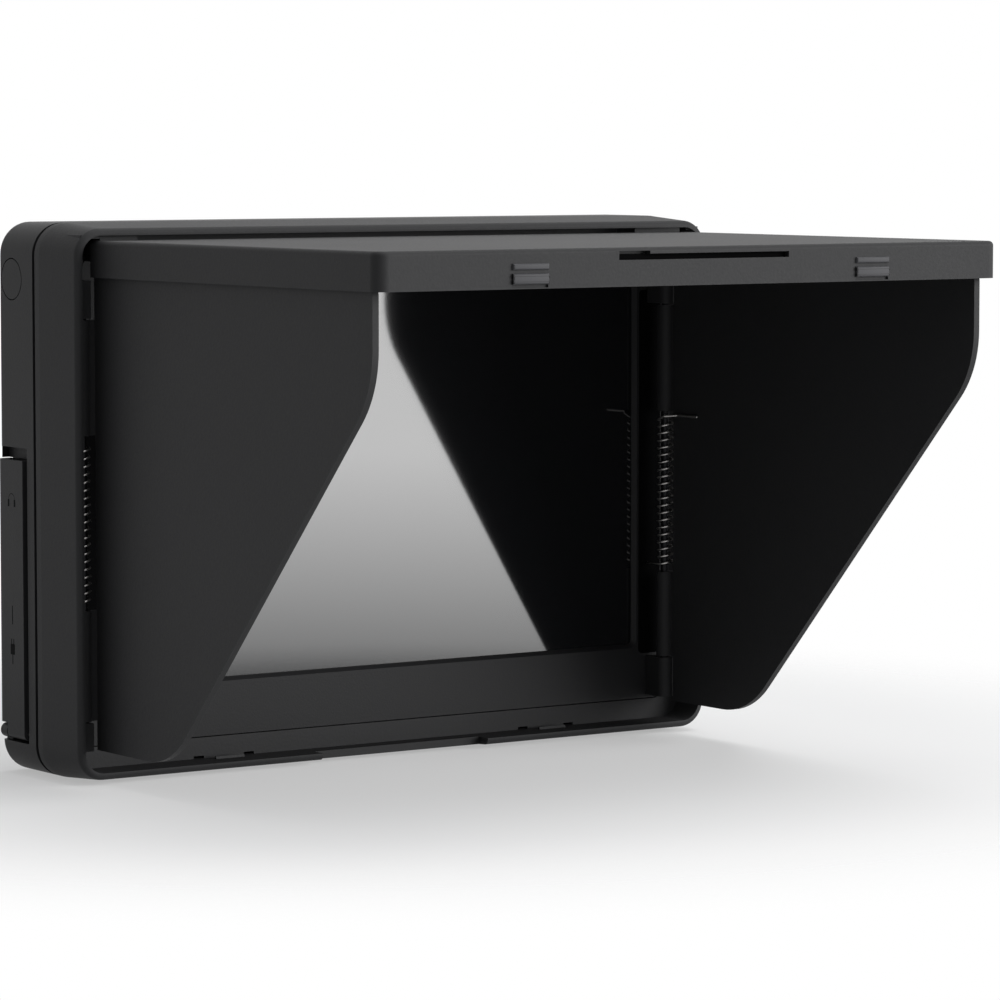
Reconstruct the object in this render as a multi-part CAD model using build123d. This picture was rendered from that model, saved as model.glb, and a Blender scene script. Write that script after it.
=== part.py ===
from build123d import *
import os
from math import atan, cos, degrees, pi, sin

# A small on-camera monitor with a folding sun hood, in millimetres. +X is to the viewer's right, +Y runs
# from the screen to the back and +Z is up. The parts are drawn with Y = 0 on the front rim and Z = 0 on the
# foot of the rim, and are written with the mouth of the threaded bush in the underside as the origin.

# Overall
WIDTH = 138.0  # of the front rim
HEIGHT = 97.5
CORNER = 5.0
BELLY = 0.85  # how far the monitor swells beyond its rim, all round
BELLY_DEPTH = 12.0  # over which it swells
FIT_GAP = 0.2  # between fixed parts that slip together
MOVE_GAP = 0.3  # between parts that move past each other
RUN_GAP = 0.05  # on the radius, between a shaft and what turns on it

# Lid of the hood
LID_SIDE_GAP = 2.9  # from the rim's side wall
LID_TOP_GAP = 0.9
LID_FRONT_GAP = 0.7  # between the closed lid's front lip and the rim's bottom wall
LID_SKIN = 1.4
LID_LIP = 6.5  # height of the turned-down edge
LID_LIP_WALL = 1.0
LID_FRONT_WALL = 2.0
LID_CORNER = 2.2
LID_EDGE = 0.8
LID_AXIS_Y = 1.15
LID_AXIS_DROP = 2.25  # of the hinge below the lid's top
LID_EAR = 1.15  # how far the side lips run on behind the hinge
LID_PIN_R = 0.6
LID_PIN_LENGTH = 7.7
LID_PIN_SKIN = 0.3  # left over the pin's end in the lip
KNUCKLE_R = 1.5
KNUCKLE_GAP = 0.8  # between the knuckles and the lid's back edge
KNUCKLE_LEFT = 7.6  # lengths along the hinge
KNUCKLE_RIGHT = 10.6
SLOT_X = 0.5
SLOT_WIDTH = 35.6
SLOT_HEIGHT = 1.0
SLOT_DEPTH = 1.5
SLOT_DROP = 1.1  # below the lid's top
SLOT_STEP_WIDTH = 6.4  # the raised left end of the finger slot
SLOT_STEP_HEIGHT = 0.5
TAB_WIDTH = 7.2
TAB_X = 0.6  # how far the pair stands to the right of the middle
TAB_PROUD = 0.15
TAB_GROOVE_LOW = 0.2  # the catch's groove, above the lip's lower edge
TAB_GROOVE_HIGH = 0.75
TAB_GROOVE_DEEP = 0.4
RIB_PITCH = 0.88
RIB_R = 0.36
RIBS = 2

# Hood frame
RIM_WALL = 1.2
RIM_ROUND = 1.0
RING_WIDTH = 3.8  # of the floor ring round the bezel
RING_THICK = 1.2
SKIRT = 6.6  # from the well's floor to the frame's back edge
SEAM_GAP = 0.9  # groove between the hood frame and the rear cover
SEAM_SINK = 0.4
NOTCH_WIDTH = 36.5
NOTCH_DEPTH = 3.0
GUSSET_LEFT = 4.1  # widths of the fillings between the lid's back corners and the rim
GUSSET_RIGHT = 2.8
GUSSET_GAP = 0.35
CATCH_SPREAD = 71.6  # between the two latch tabs
CATCH_WIDTH = 6.0
CATCH_HEIGHT = 0.45
CATCH_SLOT_SPREAD = 10.6  # between the two slots beside each catch
CATCH_SLOT_WIDTH = 2.2
CATCH_SLOT_HEIGHT = 0.5

# Side wings
WING_SKIN = 1.2
WING_TOP_GAP = 1.45  # under the knuckles
WING_SHORT = 3.4  # how far the lid reaches beyond the wings
WING_NOSE = 17.6  # height of the upright front edge
WING_SLANT_Y = 22.1  # where the slanted edge would meet the foot
WING_BEND = 17.5  # radius at both ends of the slanted edge
WING_TIP = 2.0  # radius at the upper front corner
CLOSED_GAP = 0.15  # between the closed lid's lips and the left panel folded behind them
FOLD_GAP = 0.25  # between the left panel and the well's floor
RIGHT_FOLD_GAP = 1.1  # between the right panel and the closed lid
LEFT_SHAFT_R = 0.6
LEFT_BARREL_R = 1.1
LEFT_WALL_GAP = 0.45  # between the left spring and the side wall
LEFT_LEG = 1.0
RIGHT_SHAFT_R = 0.8
RIGHT_BARREL_R = 1.6
RIGHT_LEG = 0.6  # from the right panel's inner face to its hinge
SHAFT_SINK = 1.5  # how far above the lower block's foot the shaft starts
SHAFT_CAP = 0.4
LEFT_BLOCK_TALL = 5.0
LEFT_BLOCK_BACK = 2.0
RIGHT_BLOCK_TALL = 8.4
UPPER_BLOCK_TALL = 6.7
BLOCK_GAP = 0.5  # between the upper blocks and the lid's lips
BLOCK_FOOT = 1.2  # thickness of the right blocks' feet
SPRING_RISE = 26.5  # from the wings' foot to the coil
SPRING_TURNS = 20
SPRING_PITCH = 1.4
SPRING_ROOM = 1.5  # left free above and below the coil
LEFT_SPRING_R = 1.2
LEFT_WIRE = 0.4
RIGHT_SPRING_R = 1.6
RIGHT_WIRE = 0.5
SPRING_ARM = 8.0

# Monitor
WINDOW_SIDE = 6.8  # from the floor ring to the window
WINDOW_FOOT = 10.7
WINDOW_HEAD = 6.4
BEZEL_WALL = 1.4
BEZEL_SKIN = 2.9
BEZEL_CORNER = 1.8
HOLLOW_CORNER = 1.5
WINDOW_CORNER = 1.0
WINDOW_BEVEL = 0.7
TONGUE = 1.5  # how far the bezel's wall reaches into the rear cover
GLASS_T = 1.0
GLASS_CORNER = 1.0
GLASS_SET = 0.9  # behind the bezel's face
GLASS_LAP = 2.3  # hidden all round behind the window's edge
PANEL_LAP = 1.3  # the same, for the panel and its light
PANEL_T = 1.5
LIGHT_T = 2.8
LIGHT_CORNER = 0.8
TRAY_T = 0.5
BOARD_T = 1.2
BOARD_CORNER = 2.0
BOARD_STAND = 1.6
BOARD_SIDE = 1.2  # how far the board stays inside the window's sides
BACK_ROOM = 7.5  # between the board and the battery well's floor
COVER_WALL = 1.8
COVER_EDGE = 1.6

SCREW_SIDE = 11.8  # from the inner wall
SCREW_FOOT = 3.2  # from the floor ring's lower opening
SCREW_HEAD = 1.3
SCREW_R = 1.25
SCREW_HEAD_R = 2.3
SCREW_HEAD_T = 1.6
SCREW_CROSS = 1.5  # half the width of the cross in the head
SCREW_CROSS_DEEP = 0.9
BOSS_WALL = 1.0  # round a screw's head
SCREW_SEAT = 3.4
POST_R = 2.4
SMALL_SCREW_R = 0.9
EAR_POST_R = 2.0
SMALL_HEAD_R = 1.71
SMALL_HEAD_T = 0.8
SMALL_CROSS = 1.1  # half the width of the cross in a small screw's head
SMALL_CROSS_DEEP = 0.3
TRAY_SCREW = 3.4  # length under the head
BOARD_SCREW = 2.6
EAR_SIDE = 12.8  # the tray's ears, from the window's sides
EAR_OUT = 4.4  # above and below the window
EAR_W = 6.0
EAR_H = 5.6
POST_INSET = 4.0  # the board's posts, from its edges
RIBBON_X = 16.0  # middle of the ribbon, clear of the battery catch's spring
RIBBON_W = 24.0
RIBBON_T = 0.2
RIBBON_DROP = 2.0
RIBBON_LAP = 2.0  # up over the board
PLUG_T = 1.6  # the ribbon's plug
PLUG_H = 2.6
CAN_X = -42.0  # a row of small capacitors
CAN_PITCH = 4.5
CAN_T = 2.2
CAN_DROP = 5.5
CAN_R = 1.6
CHIPS = (  # left side, width, thickness, drop below the board's top, height
    (30.0, 14.0, 1.4, 9.5, 14.0),
    (30.0, 10.0, 1.2, 35.5, 10.0),
    (-46.0, 12.0, 1.2, 11.5, 10.0),
)

# Back
PLATE_W = 44.0
PLATE_H = 66.0
PLATE_DROP = 0.9  # middle of the battery plate below the window's middle
PLATE_SKIN = 1.6
PLATE_SET = 3.2  # depth of the battery well
PLATE_FLANGE = 2.0
RAIL_REACH = 1.8
RAIL_THICK = 1.2
RAIL_HALF = 7.0
RAIL_SPREAD = 14.0
RELEASE_W = 12.0
RELEASE_H = 5.6
RELEASE_PROUD = 1.8
RELEASE_IN = 2.6
RELEASE_RAMP = 1.2
RELEASE_LEDGE = 0.8
RELEASE_WIRE = 0.4
RELEASE_COIL_R = 2.0
RELEASE_TURNS = 4
CONTACT_PITCH = 6.0
CONTACT_DROP = 7.0
CONTACT_W = 1.4
CONTACT_H = 5.2
CONTACT_ROOM = 0.2  # left round a contact in the well's floor
CONTACT_PROUD = 1.2
CONTACT_TAIL = 3.4  # how far a contact reaches in under the well's floor
SPEAKER_OUT = 24.0  # beside the battery plate's edge
SPEAKER_DROP = 24.0
SPEAKER_R = 8.0
SPEAKER_T = 1.2
MAGNET_IN = 2.5  # how much smaller the magnet is
MAGNET_T = 2.5
GRILLE_IN = 1.5  # from the speaker's edge to the longest slot's end
GRILLE_PITCH = 2.6
GRILLE_SLOT = 1.2

# Left side
DOOR_LOW = 5.3
DOOR_HIGH = 55.8
DOOR_BACK = 3.5  # from the cover's front edge to the door
DOOR_GAP = 1.0  # in front of the door
DOOR_FOOT_GAP = 0.4
DOOR_PROUD = 0.4
DOOR_SKIN = 1.3
DOOR_PIN_R = 0.5
DOOR_PIN_HOLD = 0.6
EAR_BACK = 2.9
EAR_HOLD = 1.4
EAR_SHORT = 0.6
POCKET_DEEP = 2.9
POCKET_WALL = 1.2
NAIL_HEIGHT = 2.1
NAIL_DEEP = 1.8
CAP_R = 3.8
CAP_BACK = 5.3  # from the cover's back
CAP_DROP = 9.3  # from the rim's top
SOCKET_IN = 5.1  # from the cover's back
SOCKET_LENGTH = 7.0
SOCKET_R = 3.0
HDMI_Z = 46.0
HDMI_W = 11.2
HDMI_H = 3.2
HDMI_SHEET = 0.4
HDMI_TONGUE = 0.6
HDMI_REACH = 4.0  # half the tongue's width
PHONE_Z = 32.0
PHONE_BORE = 1.8
POWER_Z = 20.0
POWER_BORE = 1.9
POWER_PIN_R = 0.5

# Right side
KEY_IN = 6.1  # from the cover's back to the row of controls
KEY_H = 6.0
KEY_D = 3.6
KEY_DROP = 14.5  # from the rim's top to the first key
KEY_PITCH = 8.0
KEY_TRAVEL = 0.6
KEY_PROUD = 0.7
KEY_FLANGE = 0.65
KEY_LEDGE = 0.6  # how far the flange stands out round the key
KEY_ROUND = 0.4
DIAL_DROP = 33.0  # from the first key to the dial
DIAL_R = 7.0
DIAL_T = 3.6
DIAL_PROUD = 1.3
DIAL_TEETH = 30
DIAL_TOOTH = 0.5
DIAL_BEVEL = 0.4
DIAL_EAR = 1.2
DIAL_EAR_HALF = 2.2
DIAL_GAP = 0.4
SPINDLE_R = 1.0
SLIDER_DROP = 23.0  # from the dial to the power knob
SLIDER_H = 8.0
SLIDER_D = 3.8
SLIDER_TRAVEL = 4.0
SLIDER_SINK = 0.8
SLIDER_PROUD = 0.6
SLIDER_PITCH = 1.4  # of its ribs
SLIDER_RIB = 0.6
SLIDER_RIDGE = 0.25
KEEPER_D = 4.4
KEEPER_H = 6.0
SWITCH_T = 3.6
SWITCH_D = 6.0
SWITCH_H = 12.0
STEM_D = 1.6
STEM_H = 3.0

# Underside
BUSH_IN = 7.0  # from the cover's back
BUSH_R = 3.175  # quarter-inch camera thread
BUSH_OUT = 4.6
BUSH_DEEP = 6.5
BOSS_W = 22.0
BOSS_SKIN = 1.2

# Across
INNER_X = WIDTH / 2 - RIM_WALL
BODY_X = WIDTH / 2 + BELLY
RING_X = INNER_X - RING_WIDTH
SHELL_X = INNER_X - FIT_GAP
LID_HALF = INNER_X - LID_SIDE_GAP
WING_OUT = LID_HALF - LID_LIP_WALL - MOVE_GAP  # outer faces of the wings
WING_IN = WING_OUT - WING_SKIN
LEFT_AXIS_X = LEFT_WALL_GAP + LEFT_SPRING_R - INNER_X
RIGHT_AXIS_X = WING_IN - RIGHT_LEG
WINDOW_X = RING_X - WINDOW_SIDE
BOARD_X = WINDOW_X - BOARD_SIDE
EAR_X = WINDOW_X - EAR_SIDE
SCREW_X = INNER_X - SCREW_SIDE
SPEAKER_X = PLATE_W / 2 + SPEAKER_OUT
KEY_WALL = BODY_X - COVER_WALL
DIAL_X = BODY_X + DIAL_PROUD - DIAL_R
DOOR_X = -BODY_X - DOOR_PROUD
DOOR_AXIS_X = DOOR_X + DOOR_SKIN
POCKET_X = POCKET_DEEP - BODY_X
SOCKET_BACK = POCKET_X + SOCKET_LENGTH

# Upwards
BASE_Z = -BELLY
HEAD_Z = HEIGHT + BELLY
RING_LOW = RIM_WALL + RING_WIDTH
RING_HIGH = HEIGHT - RIM_WALL - RING_WIDTH
SHELL_LOW = RIM_WALL + FIT_GAP
SHELL_HIGH = HEIGHT - RIM_WALL - FIT_GAP
LID_TOP = HEIGHT - RIM_WALL - LID_TOP_GAP
LID_FOOT = LID_TOP - LID_LIP
LID_AXIS_Z = LID_TOP - LID_AXIS_DROP
WING_FOOT = RING_LOW
WING_TOP = LID_AXIS_Z - KNUCKLE_R - WING_TOP_GAP
BLOCK_TOP = LID_FOOT - BLOCK_GAP
BLOCK_HIGH = BLOCK_TOP - UPPER_BLOCK_TALL
LEFT_BLOCK_LOW = WING_FOOT + LEFT_BLOCK_TALL
RIGHT_BLOCK_LOW = WING_FOOT + RIGHT_BLOCK_TALL
SHAFT_FOOT = WING_FOOT + SHAFT_SINK
SHAFT_TOP = BLOCK_TOP - SHAFT_CAP
SPRING_LOW = WING_FOOT + SPRING_RISE
SPRING_HIGH = SPRING_LOW + SPRING_TURNS * SPRING_PITCH
WINDOW_LOW = RING_LOW + WINDOW_FOOT
WINDOW_HIGH = RING_HIGH - WINDOW_HEAD
WINDOW_Z = (WINDOW_LOW + WINDOW_HIGH) / 2
BOARD_LOW = WINDOW_LOW - 0.2
BOARD_HIGH = WINDOW_HIGH - 0.6
SCREW_HEIGHTS = (RING_LOW + SCREW_FOOT, RING_HIGH - SCREW_HEAD)
PLATE_Z = WINDOW_Z - PLATE_DROP
PLATE_LOW = PLATE_Z - PLATE_H / 2
PLATE_HIGH = PLATE_Z + PLATE_H / 2
RELEASE_LOW = PLATE_LOW + FIT_GAP + PLATE_SKIN + 1.5
CONTACT_Z = PLATE_HIGH - CONTACT_DROP
SPEAKER_Z = PLATE_Z - SPEAKER_DROP
DOOR_AXIS_Z = DOOR_LOW + DOOR_SKIN
POCKET_LOW = DOOR_LOW - DOOR_FOOT_GAP
POCKET_HIGH = DOOR_HIGH + FIT_GAP
CAP_Z = HEIGHT - CAP_DROP
KEY_Z = HEIGHT - KEY_DROP
KEY_HEIGHTS = (KEY_Z, KEY_Z - KEY_PITCH, KEY_Z - 2 * KEY_PITCH)
DIAL_Z = KEY_Z - DIAL_DROP
SLIDER_Z = DIAL_Z - SLIDER_DROP

# From the rim to the back
LID_BACK = LID_AXIS_Y - KNUCKLE_R - KNUCKLE_GAP
LID_REACH = LID_AXIS_Z - LID_AXIS_Y - RIM_WALL - LID_FRONT_GAP
WING_REACH = LID_REACH - WING_SHORT
RECESS = LID_AXIS_Y + LID_LIP - LID_AXIS_DROP + CLOSED_GAP + WING_SKIN + FOLD_GAP  # the well's depth
LEFT_AXIS_Y = RECESS - FOLD_GAP + LEFT_AXIS_X + WING_IN
RIGHT_AXIS_Y = LID_AXIS_Y - LID_AXIS_DROP + LID_SKIN + RIGHT_FOLD_GAP + WING_SKIN + RIGHT_LEG
HOOD_DEPTH = RECESS + SKIRT
COVER_FRONT = HOOD_DEPTH + SEAM_GAP
BEZEL_FACE = RECESS + 0.1
BEZEL_SEAT = RECESS + RING_THICK + FIT_GAP
BEZEL_BACK = BEZEL_FACE + BEZEL_SKIN
GLASS_Y = BEZEL_FACE + GLASS_SET
PANEL_Y = GLASS_Y + GLASS_T + 0.1
LIGHT_Y = PANEL_Y + PANEL_T + 0.05
TRAY_Y = LIGHT_Y + LIGHT_T + 0.05
BOARD_Y = TRAY_Y + TRAY_T + BOARD_STAND
BOARD_BACK = BOARD_Y + BOARD_T
WELL_Y = BOARD_BACK + BACK_ROOM
DEPTH = WELL_Y + PLATE_SET
BOSS_FRONT = COVER_FRONT + TONGUE + FIT_GAP
BUSH_Y = DEPTH - BUSH_IN
KEY_Y = DEPTH - KEY_IN
SOCKET_Y = DEPTH - SOCKET_IN
CAP_Y = DEPTH - CAP_BACK
DOOR_FRONT = COVER_FRONT + DOOR_BACK
POCKET_FRONT = DOOR_FRONT - DOOR_GAP
EAR_Y = DEPTH - EAR_BACK


def slab(x0, x1, y0, y1, z0, z1):
    """A box between two corners."""
    centre = Pos((x0 + x1) / 2, (y0 + y1) / 2, (z0 + z1) / 2)
    return centre * Box(abs(x1 - x0), abs(y1 - y0), abs(z1 - z0))


def plate(x0, x1, y0, y1, z0, z1, radius):
    """A box whose four edges along Y are rounded."""
    face = Plane.XZ * RectangleRounded(x1 - x0, z1 - z0, radius)
    return Pos((x0 + x1) / 2, y1, (z0 + z1) / 2) * extrude(face, y1 - y0)


def rod(x, y, z0, z1, radius):
    """A cylinder standing along Z."""
    return Pos(x, y, (z0 + z1) / 2) * Cylinder(radius, z1 - z0)


def cross_rod(x0, x1, y, z, radius):
    """A cylinder lying along X."""
    return Pos((x0 + x1) / 2, y, z) * Rot(0, 90, 0) * Cylinder(radius, abs(x1 - x0))


def deep_rod(x, y0, y1, z, radius):
    """A cylinder lying along Y."""
    return Pos(x, (y0 + y1) / 2, z) * Rot(90, 0, 0) * Cylinder(radius, y1 - y0)


def edges_at(solid, axis, value):
    """The edges that lie in one plane across an axis."""
    return solid.edges().filter_by_position(axis, value - 0.01, value + 0.01)


def body_plate(y0, y1, inset):
    """The monitor's full outline between two depths, drawn in by inset all round."""
    half = BODY_X - inset
    return plate(-half, half, y0, y1, BASE_Z + inset, HEAD_Z - inset, CORNER + BELLY - inset)


def hood_frame():
    """The surround: a rim, a floor ring, a skirt, and the blocks and knuckles that the hood turns on."""
    outline = Plane.XZ * RectangleRounded(2 * BODY_X, HEAD_Z - BASE_Z, CORNER + BELLY)
    flare = extrude(outline, BELLY_DEPTH, taper=degrees(atan(BELLY / BELLY_DEPTH)))
    flare = Pos(0, BELLY_DEPTH, HEIGHT / 2) * flare
    frame = fillet(edges_at(flare, Axis.Y, 0), RIM_ROUND) + body_plate(BELLY_DEPTH, HOOD_DEPTH, 0)
    bend = CORNER - RIM_WALL
    frame -= plate(-INNER_X, INNER_X, -1, RECESS, RIM_WALL, HEIGHT - RIM_WALL, bend)
    frame -= plate(-RING_X, RING_X, 0, HOOD_DEPTH, RING_LOW, RING_HIGH, 2.0)
    frame -= plate(
        -INNER_X, INNER_X, RECESS + RING_THICK, HOOD_DEPTH + 1, RIM_WALL, HEIGHT - RIM_WALL, bend,
    )
    frame -= slab(-NOTCH_WIDTH / 2, NOTCH_WIDTH / 2, -1, NOTCH_DEPTH, -1, RIM_WALL + 0.5)
    for side in (-1, 1):
        middle = TAB_X + side * CATCH_SPREAD / 2
        frame += catch_bump(middle)
        for end in (-1, 1):
            frame -= catch_slot(middle + end * CATCH_SLOT_SPREAD / 2)
    frame += knuckle(-WING_OUT, -WING_OUT + KNUCKLE_LEFT) + knuckle(WING_OUT - KNUCKLE_RIGHT, WING_OUT)
    frame += gusset(-INNER_X, -INNER_X + GUSSET_LEFT) + gusset(INNER_X - GUSSET_RIGHT, INNER_X)
    frame += left_blocks() + right_blocks()
    frame -= left_shaft() + right_shaft()
    return frame - lid_pins()


def catch_bump(x):
    """A low ridge on the rim's bottom wall. The closed lid's groove lies over it, its ribs in front."""
    height = LID_FOOT + (TAB_GROOVE_LOW + TAB_GROOVE_HIGH) / 2
    depth = LID_AXIS_Y + LID_AXIS_Z - height
    base, top = 0.3, 0.12
    outline = Polyline(
        (depth - base, -0.2), (depth + base, -0.2), (depth + top, CATCH_HEIGHT), (depth - top, CATCH_HEIGHT),
        close=True,
    )
    ridge = extrude(Plane.YZ * make_face(outline), CATCH_WIDTH)
    return Pos(x - CATCH_WIDTH / 2, 0, RIM_WALL) * ridge


def catch_slot(x):
    """A small slot through the floor ring beside a catch."""
    half = CATCH_SLOT_WIDTH / 2
    top = RIM_WALL + CATCH_SLOT_HEIGHT
    return slab(x - half, x + half, RECESS - 1, RECESS + RING_THICK + 0.1, RIM_WALL, top)


def knuckle(x0, x1):
    """The fixed half of the lid's hinge, hung from the rim's top wall."""
    barrel = cross_rod(x0, x1, LID_AXIS_Y, LID_AXIS_Z, KNUCKLE_R)
    web = slab(x0, x1, LID_AXIS_Y, RECESS - 0.1, LID_AXIS_Z - KNUCKLE_R, HEIGHT - RIM_WALL / 2)
    root = slab(x0, x1, RECESS - 0.2, RECESS + 0.5, RING_HIGH + 0.2, HEIGHT - RIM_WALL / 2)
    return barrel + web + root


def gusset(x0, x1):
    """A filling under the rim's top wall, over a back corner of the lid."""
    return slab(x0, x1, LID_AXIS_Y - 0.15, RECESS + 0.1, LID_TOP + GUSSET_GAP, HEIGHT - RIM_WALL + 0.1)


def left_blocks():
    """The blocks on the left wall that hold the left shaft. The folded panel passes behind them."""
    wall, inner = -INNER_X - 0.5, LEFT_AXIS_X + LEFT_BARREL_R
    front, back = LEFT_AXIS_Y - LEFT_BARREL_R, LEFT_AXIS_Y + LEFT_BLOCK_BACK
    lower = slab(wall, inner, front, back, WING_FOOT, LEFT_BLOCK_LOW)
    return lower + slab(wall, inner, front, back, BLOCK_HIGH, BLOCK_TOP)


def right_blocks():
    """The blocks that hold the right shaft, on feet that pass behind the lid's side lip."""
    lower = right_block(WING_FOOT + 0.8, RIGHT_BLOCK_LOW)
    return lower + right_block(BLOCK_HIGH, BLOCK_TOP)


def right_block(low, high):
    left, right = RIGHT_AXIS_X - RIGHT_BARREL_R, RIGHT_AXIS_X + RIGHT_BARREL_R
    back = RECESS - 0.1
    block = rod(RIGHT_AXIS_X, RIGHT_AXIS_Y, low, high, RIGHT_BARREL_R)
    block += slab(left, right, RIGHT_AXIS_Y, back, low, high)
    block += slab(left, INNER_X + 0.5, back - BLOCK_FOOT, back, low, high)
    return block + slab(RING_X + 0.3, INNER_X + 0.5, back - BLOCK_FOOT, RECESS + 0.5, low, high)


def lid_pins():
    """Two short steel pins, pressed in the knuckles, that the lid's side lips turn on."""
    pins = []
    for side in (-1, 1):
        tip = LID_HALF - LID_PIN_SKIN - RUN_GAP
        pins.append(cross_rod(side * tip, side * (tip - LID_PIN_LENGTH), LID_AXIS_Y, LID_AXIS_Z, LID_PIN_R))
    return Compound(children=pins)


def hood_lid():
    """The top panel, a shallow tray open downwards and to the back, with ears for its pins."""
    tail = LID_AXIS_Y + LID_EAR
    outer = slab(-LID_HALF, LID_HALF, -LID_REACH, tail, LID_FOOT, LID_TOP)
    outer = fillet(outer.edges().filter_by(Axis.Z).sort_by(Axis.Y)[:2], LID_CORNER)
    outer = fillet(edges_at(outer, Axis.Z, LID_TOP).sort_by(Axis.Y)[:-1], LID_EDGE)
    half = LID_HALF - LID_LIP_WALL
    inner = slab(-half, half, LID_FRONT_WALL - LID_REACH, tail + 1, LID_FOOT - 1, LID_TOP - LID_SKIN)
    lid = outer - fillet(inner.edges().filter_by(Axis.Z).sort_by(Axis.Y)[:2], LID_CORNER - LID_LIP_WALL)
    lid -= slab(-half, half, LID_BACK, tail + 1, LID_FOOT, LID_TOP + 1)
    lid += slab(
        KNUCKLE_LEFT + MOVE_GAP - WING_OUT, WING_OUT - KNUCKLE_RIGHT - MOVE_GAP,
        LID_BACK - 1, LID_AXIS_Y - KNUCKLE_GAP, LID_TOP - LID_SKIN, LID_TOP,
    )
    for side in (-1, 1):
        tip = side * (LID_HALF - LID_PIN_SKIN)
        lid -= cross_rod(tip, side * (half - 1), LID_AXIS_Y, LID_AXIS_Z, LID_PIN_R + RUN_GAP)
    lid -= finger_slot()
    for side in (-1, 1):
        lid = add_latch_tab(lid, TAB_X + side * CATCH_SPREAD / 2)
    return lid


def finger_slot():
    """The slot in the front lip that a fingernail lifts the closed lid by, higher at its left end."""
    left, right = SLOT_X - SLOT_WIDTH / 2, SLOT_X + SLOT_WIDTH / 2
    front, back = -LID_REACH - 1, SLOT_DEPTH - LID_REACH
    top = LID_TOP - SLOT_DROP
    slot = slab(left, right, front, back, top - SLOT_HEIGHT, top)
    return slot + slab(left, left + SLOT_STEP_WIDTH, front, back, top - SLOT_HEIGHT, top + SLOT_STEP_HEIGHT)


def add_latch_tab(lid, x):
    """A ribbed pad low on the lid's front lip, over the groove for the catch."""
    left, right = x - TAB_WIDTH / 2, x + TAB_WIDTH / 2
    face = -LID_REACH
    low = LID_FOOT + TAB_GROOVE_HIGH
    lid += slab(left, right, face - TAB_PROUD, face + 0.3, low, low + RIBS * RIB_PITCH)
    for step in range(RIBS):
        lid += cross_rod(left, right, face - TAB_PROUD, low + (step + 0.5) * RIB_PITCH, RIB_R)
    return lid - slab(left, right, face - 1, face + TAB_GROOVE_DEEP, LID_FOOT + TAB_GROOVE_LOW, low)


def wing_panel(side, rear):
    """The flat panel of a wing, from its slanted front edge back to a given depth."""
    corners = [
        (rear, WING_FOOT), (rear, WING_TOP), (-WING_REACH, WING_TOP),
        (-WING_REACH, WING_TOP - WING_NOSE), (-WING_SLANT_Y, WING_FOOT),
    ]
    outline = Plane.YZ * make_face(Polyline(*corners, close=True))
    panel = Pos(WING_IN if side > 0 else -WING_OUT, 0, 0) * extrude(outline, WING_SKIN)
    ends = panel.edges().filter_by(Axis.X).sort_by(Axis.Y)[:3].sort_by(Axis.Z)
    panel = fillet(ends[:2], min(WING_BEND, WING_NOSE - 0.1))
    tip = edges_at(panel, Axis.Z, WING_TOP).filter_by(Axis.X).sort_by(Axis.Y)[:1]
    return fillet(tip, WING_TIP)


def wing_runs(block_low):
    """The heights between which a wing is carried on its shaft, below and above its spring."""
    lower = (block_low + MOVE_GAP, SPRING_LOW - SPRING_ROOM)
    return lower, (SPRING_HIGH + SPRING_ROOM, BLOCK_HIGH - MOVE_GAP)


def left_wing():
    """The left panel. A leg at its rear edge reaches outwards to the barrels on the shaft."""
    leg_front = LEFT_AXIS_Y + 0.2
    wing = wing_panel(-1, leg_front + 0.1)
    for low, high in wing_runs(LEFT_BLOCK_LOW):
        wing += slab(LEFT_AXIS_X, -WING_IN, leg_front, leg_front + LEFT_LEG, low, high)
        wing += rod(LEFT_AXIS_X, LEFT_AXIS_Y, low, high, LEFT_BARREL_R)
    return wing - rod(LEFT_AXIS_X, LEFT_AXIS_Y, WING_FOOT, WING_TOP, LEFT_SHAFT_R + RUN_GAP)


def right_wing():
    """The right panel, whose face runs straight on to the barrels on the shaft."""
    rear = RIGHT_AXIS_Y - RIGHT_BARREL_R - MOVE_GAP
    wing = wing_panel(1, rear)
    front = RIGHT_AXIS_Y - RIGHT_BARREL_R + 0.1
    for low, high in wing_runs(RIGHT_BLOCK_LOW):
        wing += slab(RIGHT_AXIS_X, WING_OUT, front, RIGHT_AXIS_Y + 0.8, low, high)
        wing += slab(WING_IN, WING_OUT, rear - 0.1, RIGHT_AXIS_Y, low, high)
        wing += rod(RIGHT_AXIS_X, RIGHT_AXIS_Y, low, high, RIGHT_BARREL_R)
    return wing - rod(RIGHT_AXIS_X, RIGHT_AXIS_Y, WING_FOOT, WING_TOP, RIGHT_SHAFT_R + RUN_GAP)


def bent_wire(points, radius):
    """A round wire through a few points, with a ball at each bend."""
    wire = None
    for start, end in zip(points, points[1:]):
        run = Line(start, end)
        piece = extrude(Plane(start, z_dir=run % 0) * Circle(radius), run.length)
        piece += Pos(*end) * Sphere(radius)
        wire = piece if wire is None else wire + piece
    return wire


def coil(pitch, height, outer_r, wire):
    """A wound wire that starts and ends on the -X side of the Z axis."""
    path = Helix(pitch, height, outer_r - wire / 2)
    section = Plane(path @ 0, z_dir=path % 0) * RegularPolygon(wire / 2, 4)
    return Rot(0, 0, 180) * sweep(section, path=path, is_frenet=True)


def torsion_coil(axis_x, axis_y, outer_r, wire):
    """The wound part of a torsion spring, standing round its shaft."""
    return Pos(axis_x, axis_y, SPRING_LOW) * coil(SPRING_PITCH, SPRING_HIGH - SPRING_LOW, outer_r, wire)


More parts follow.
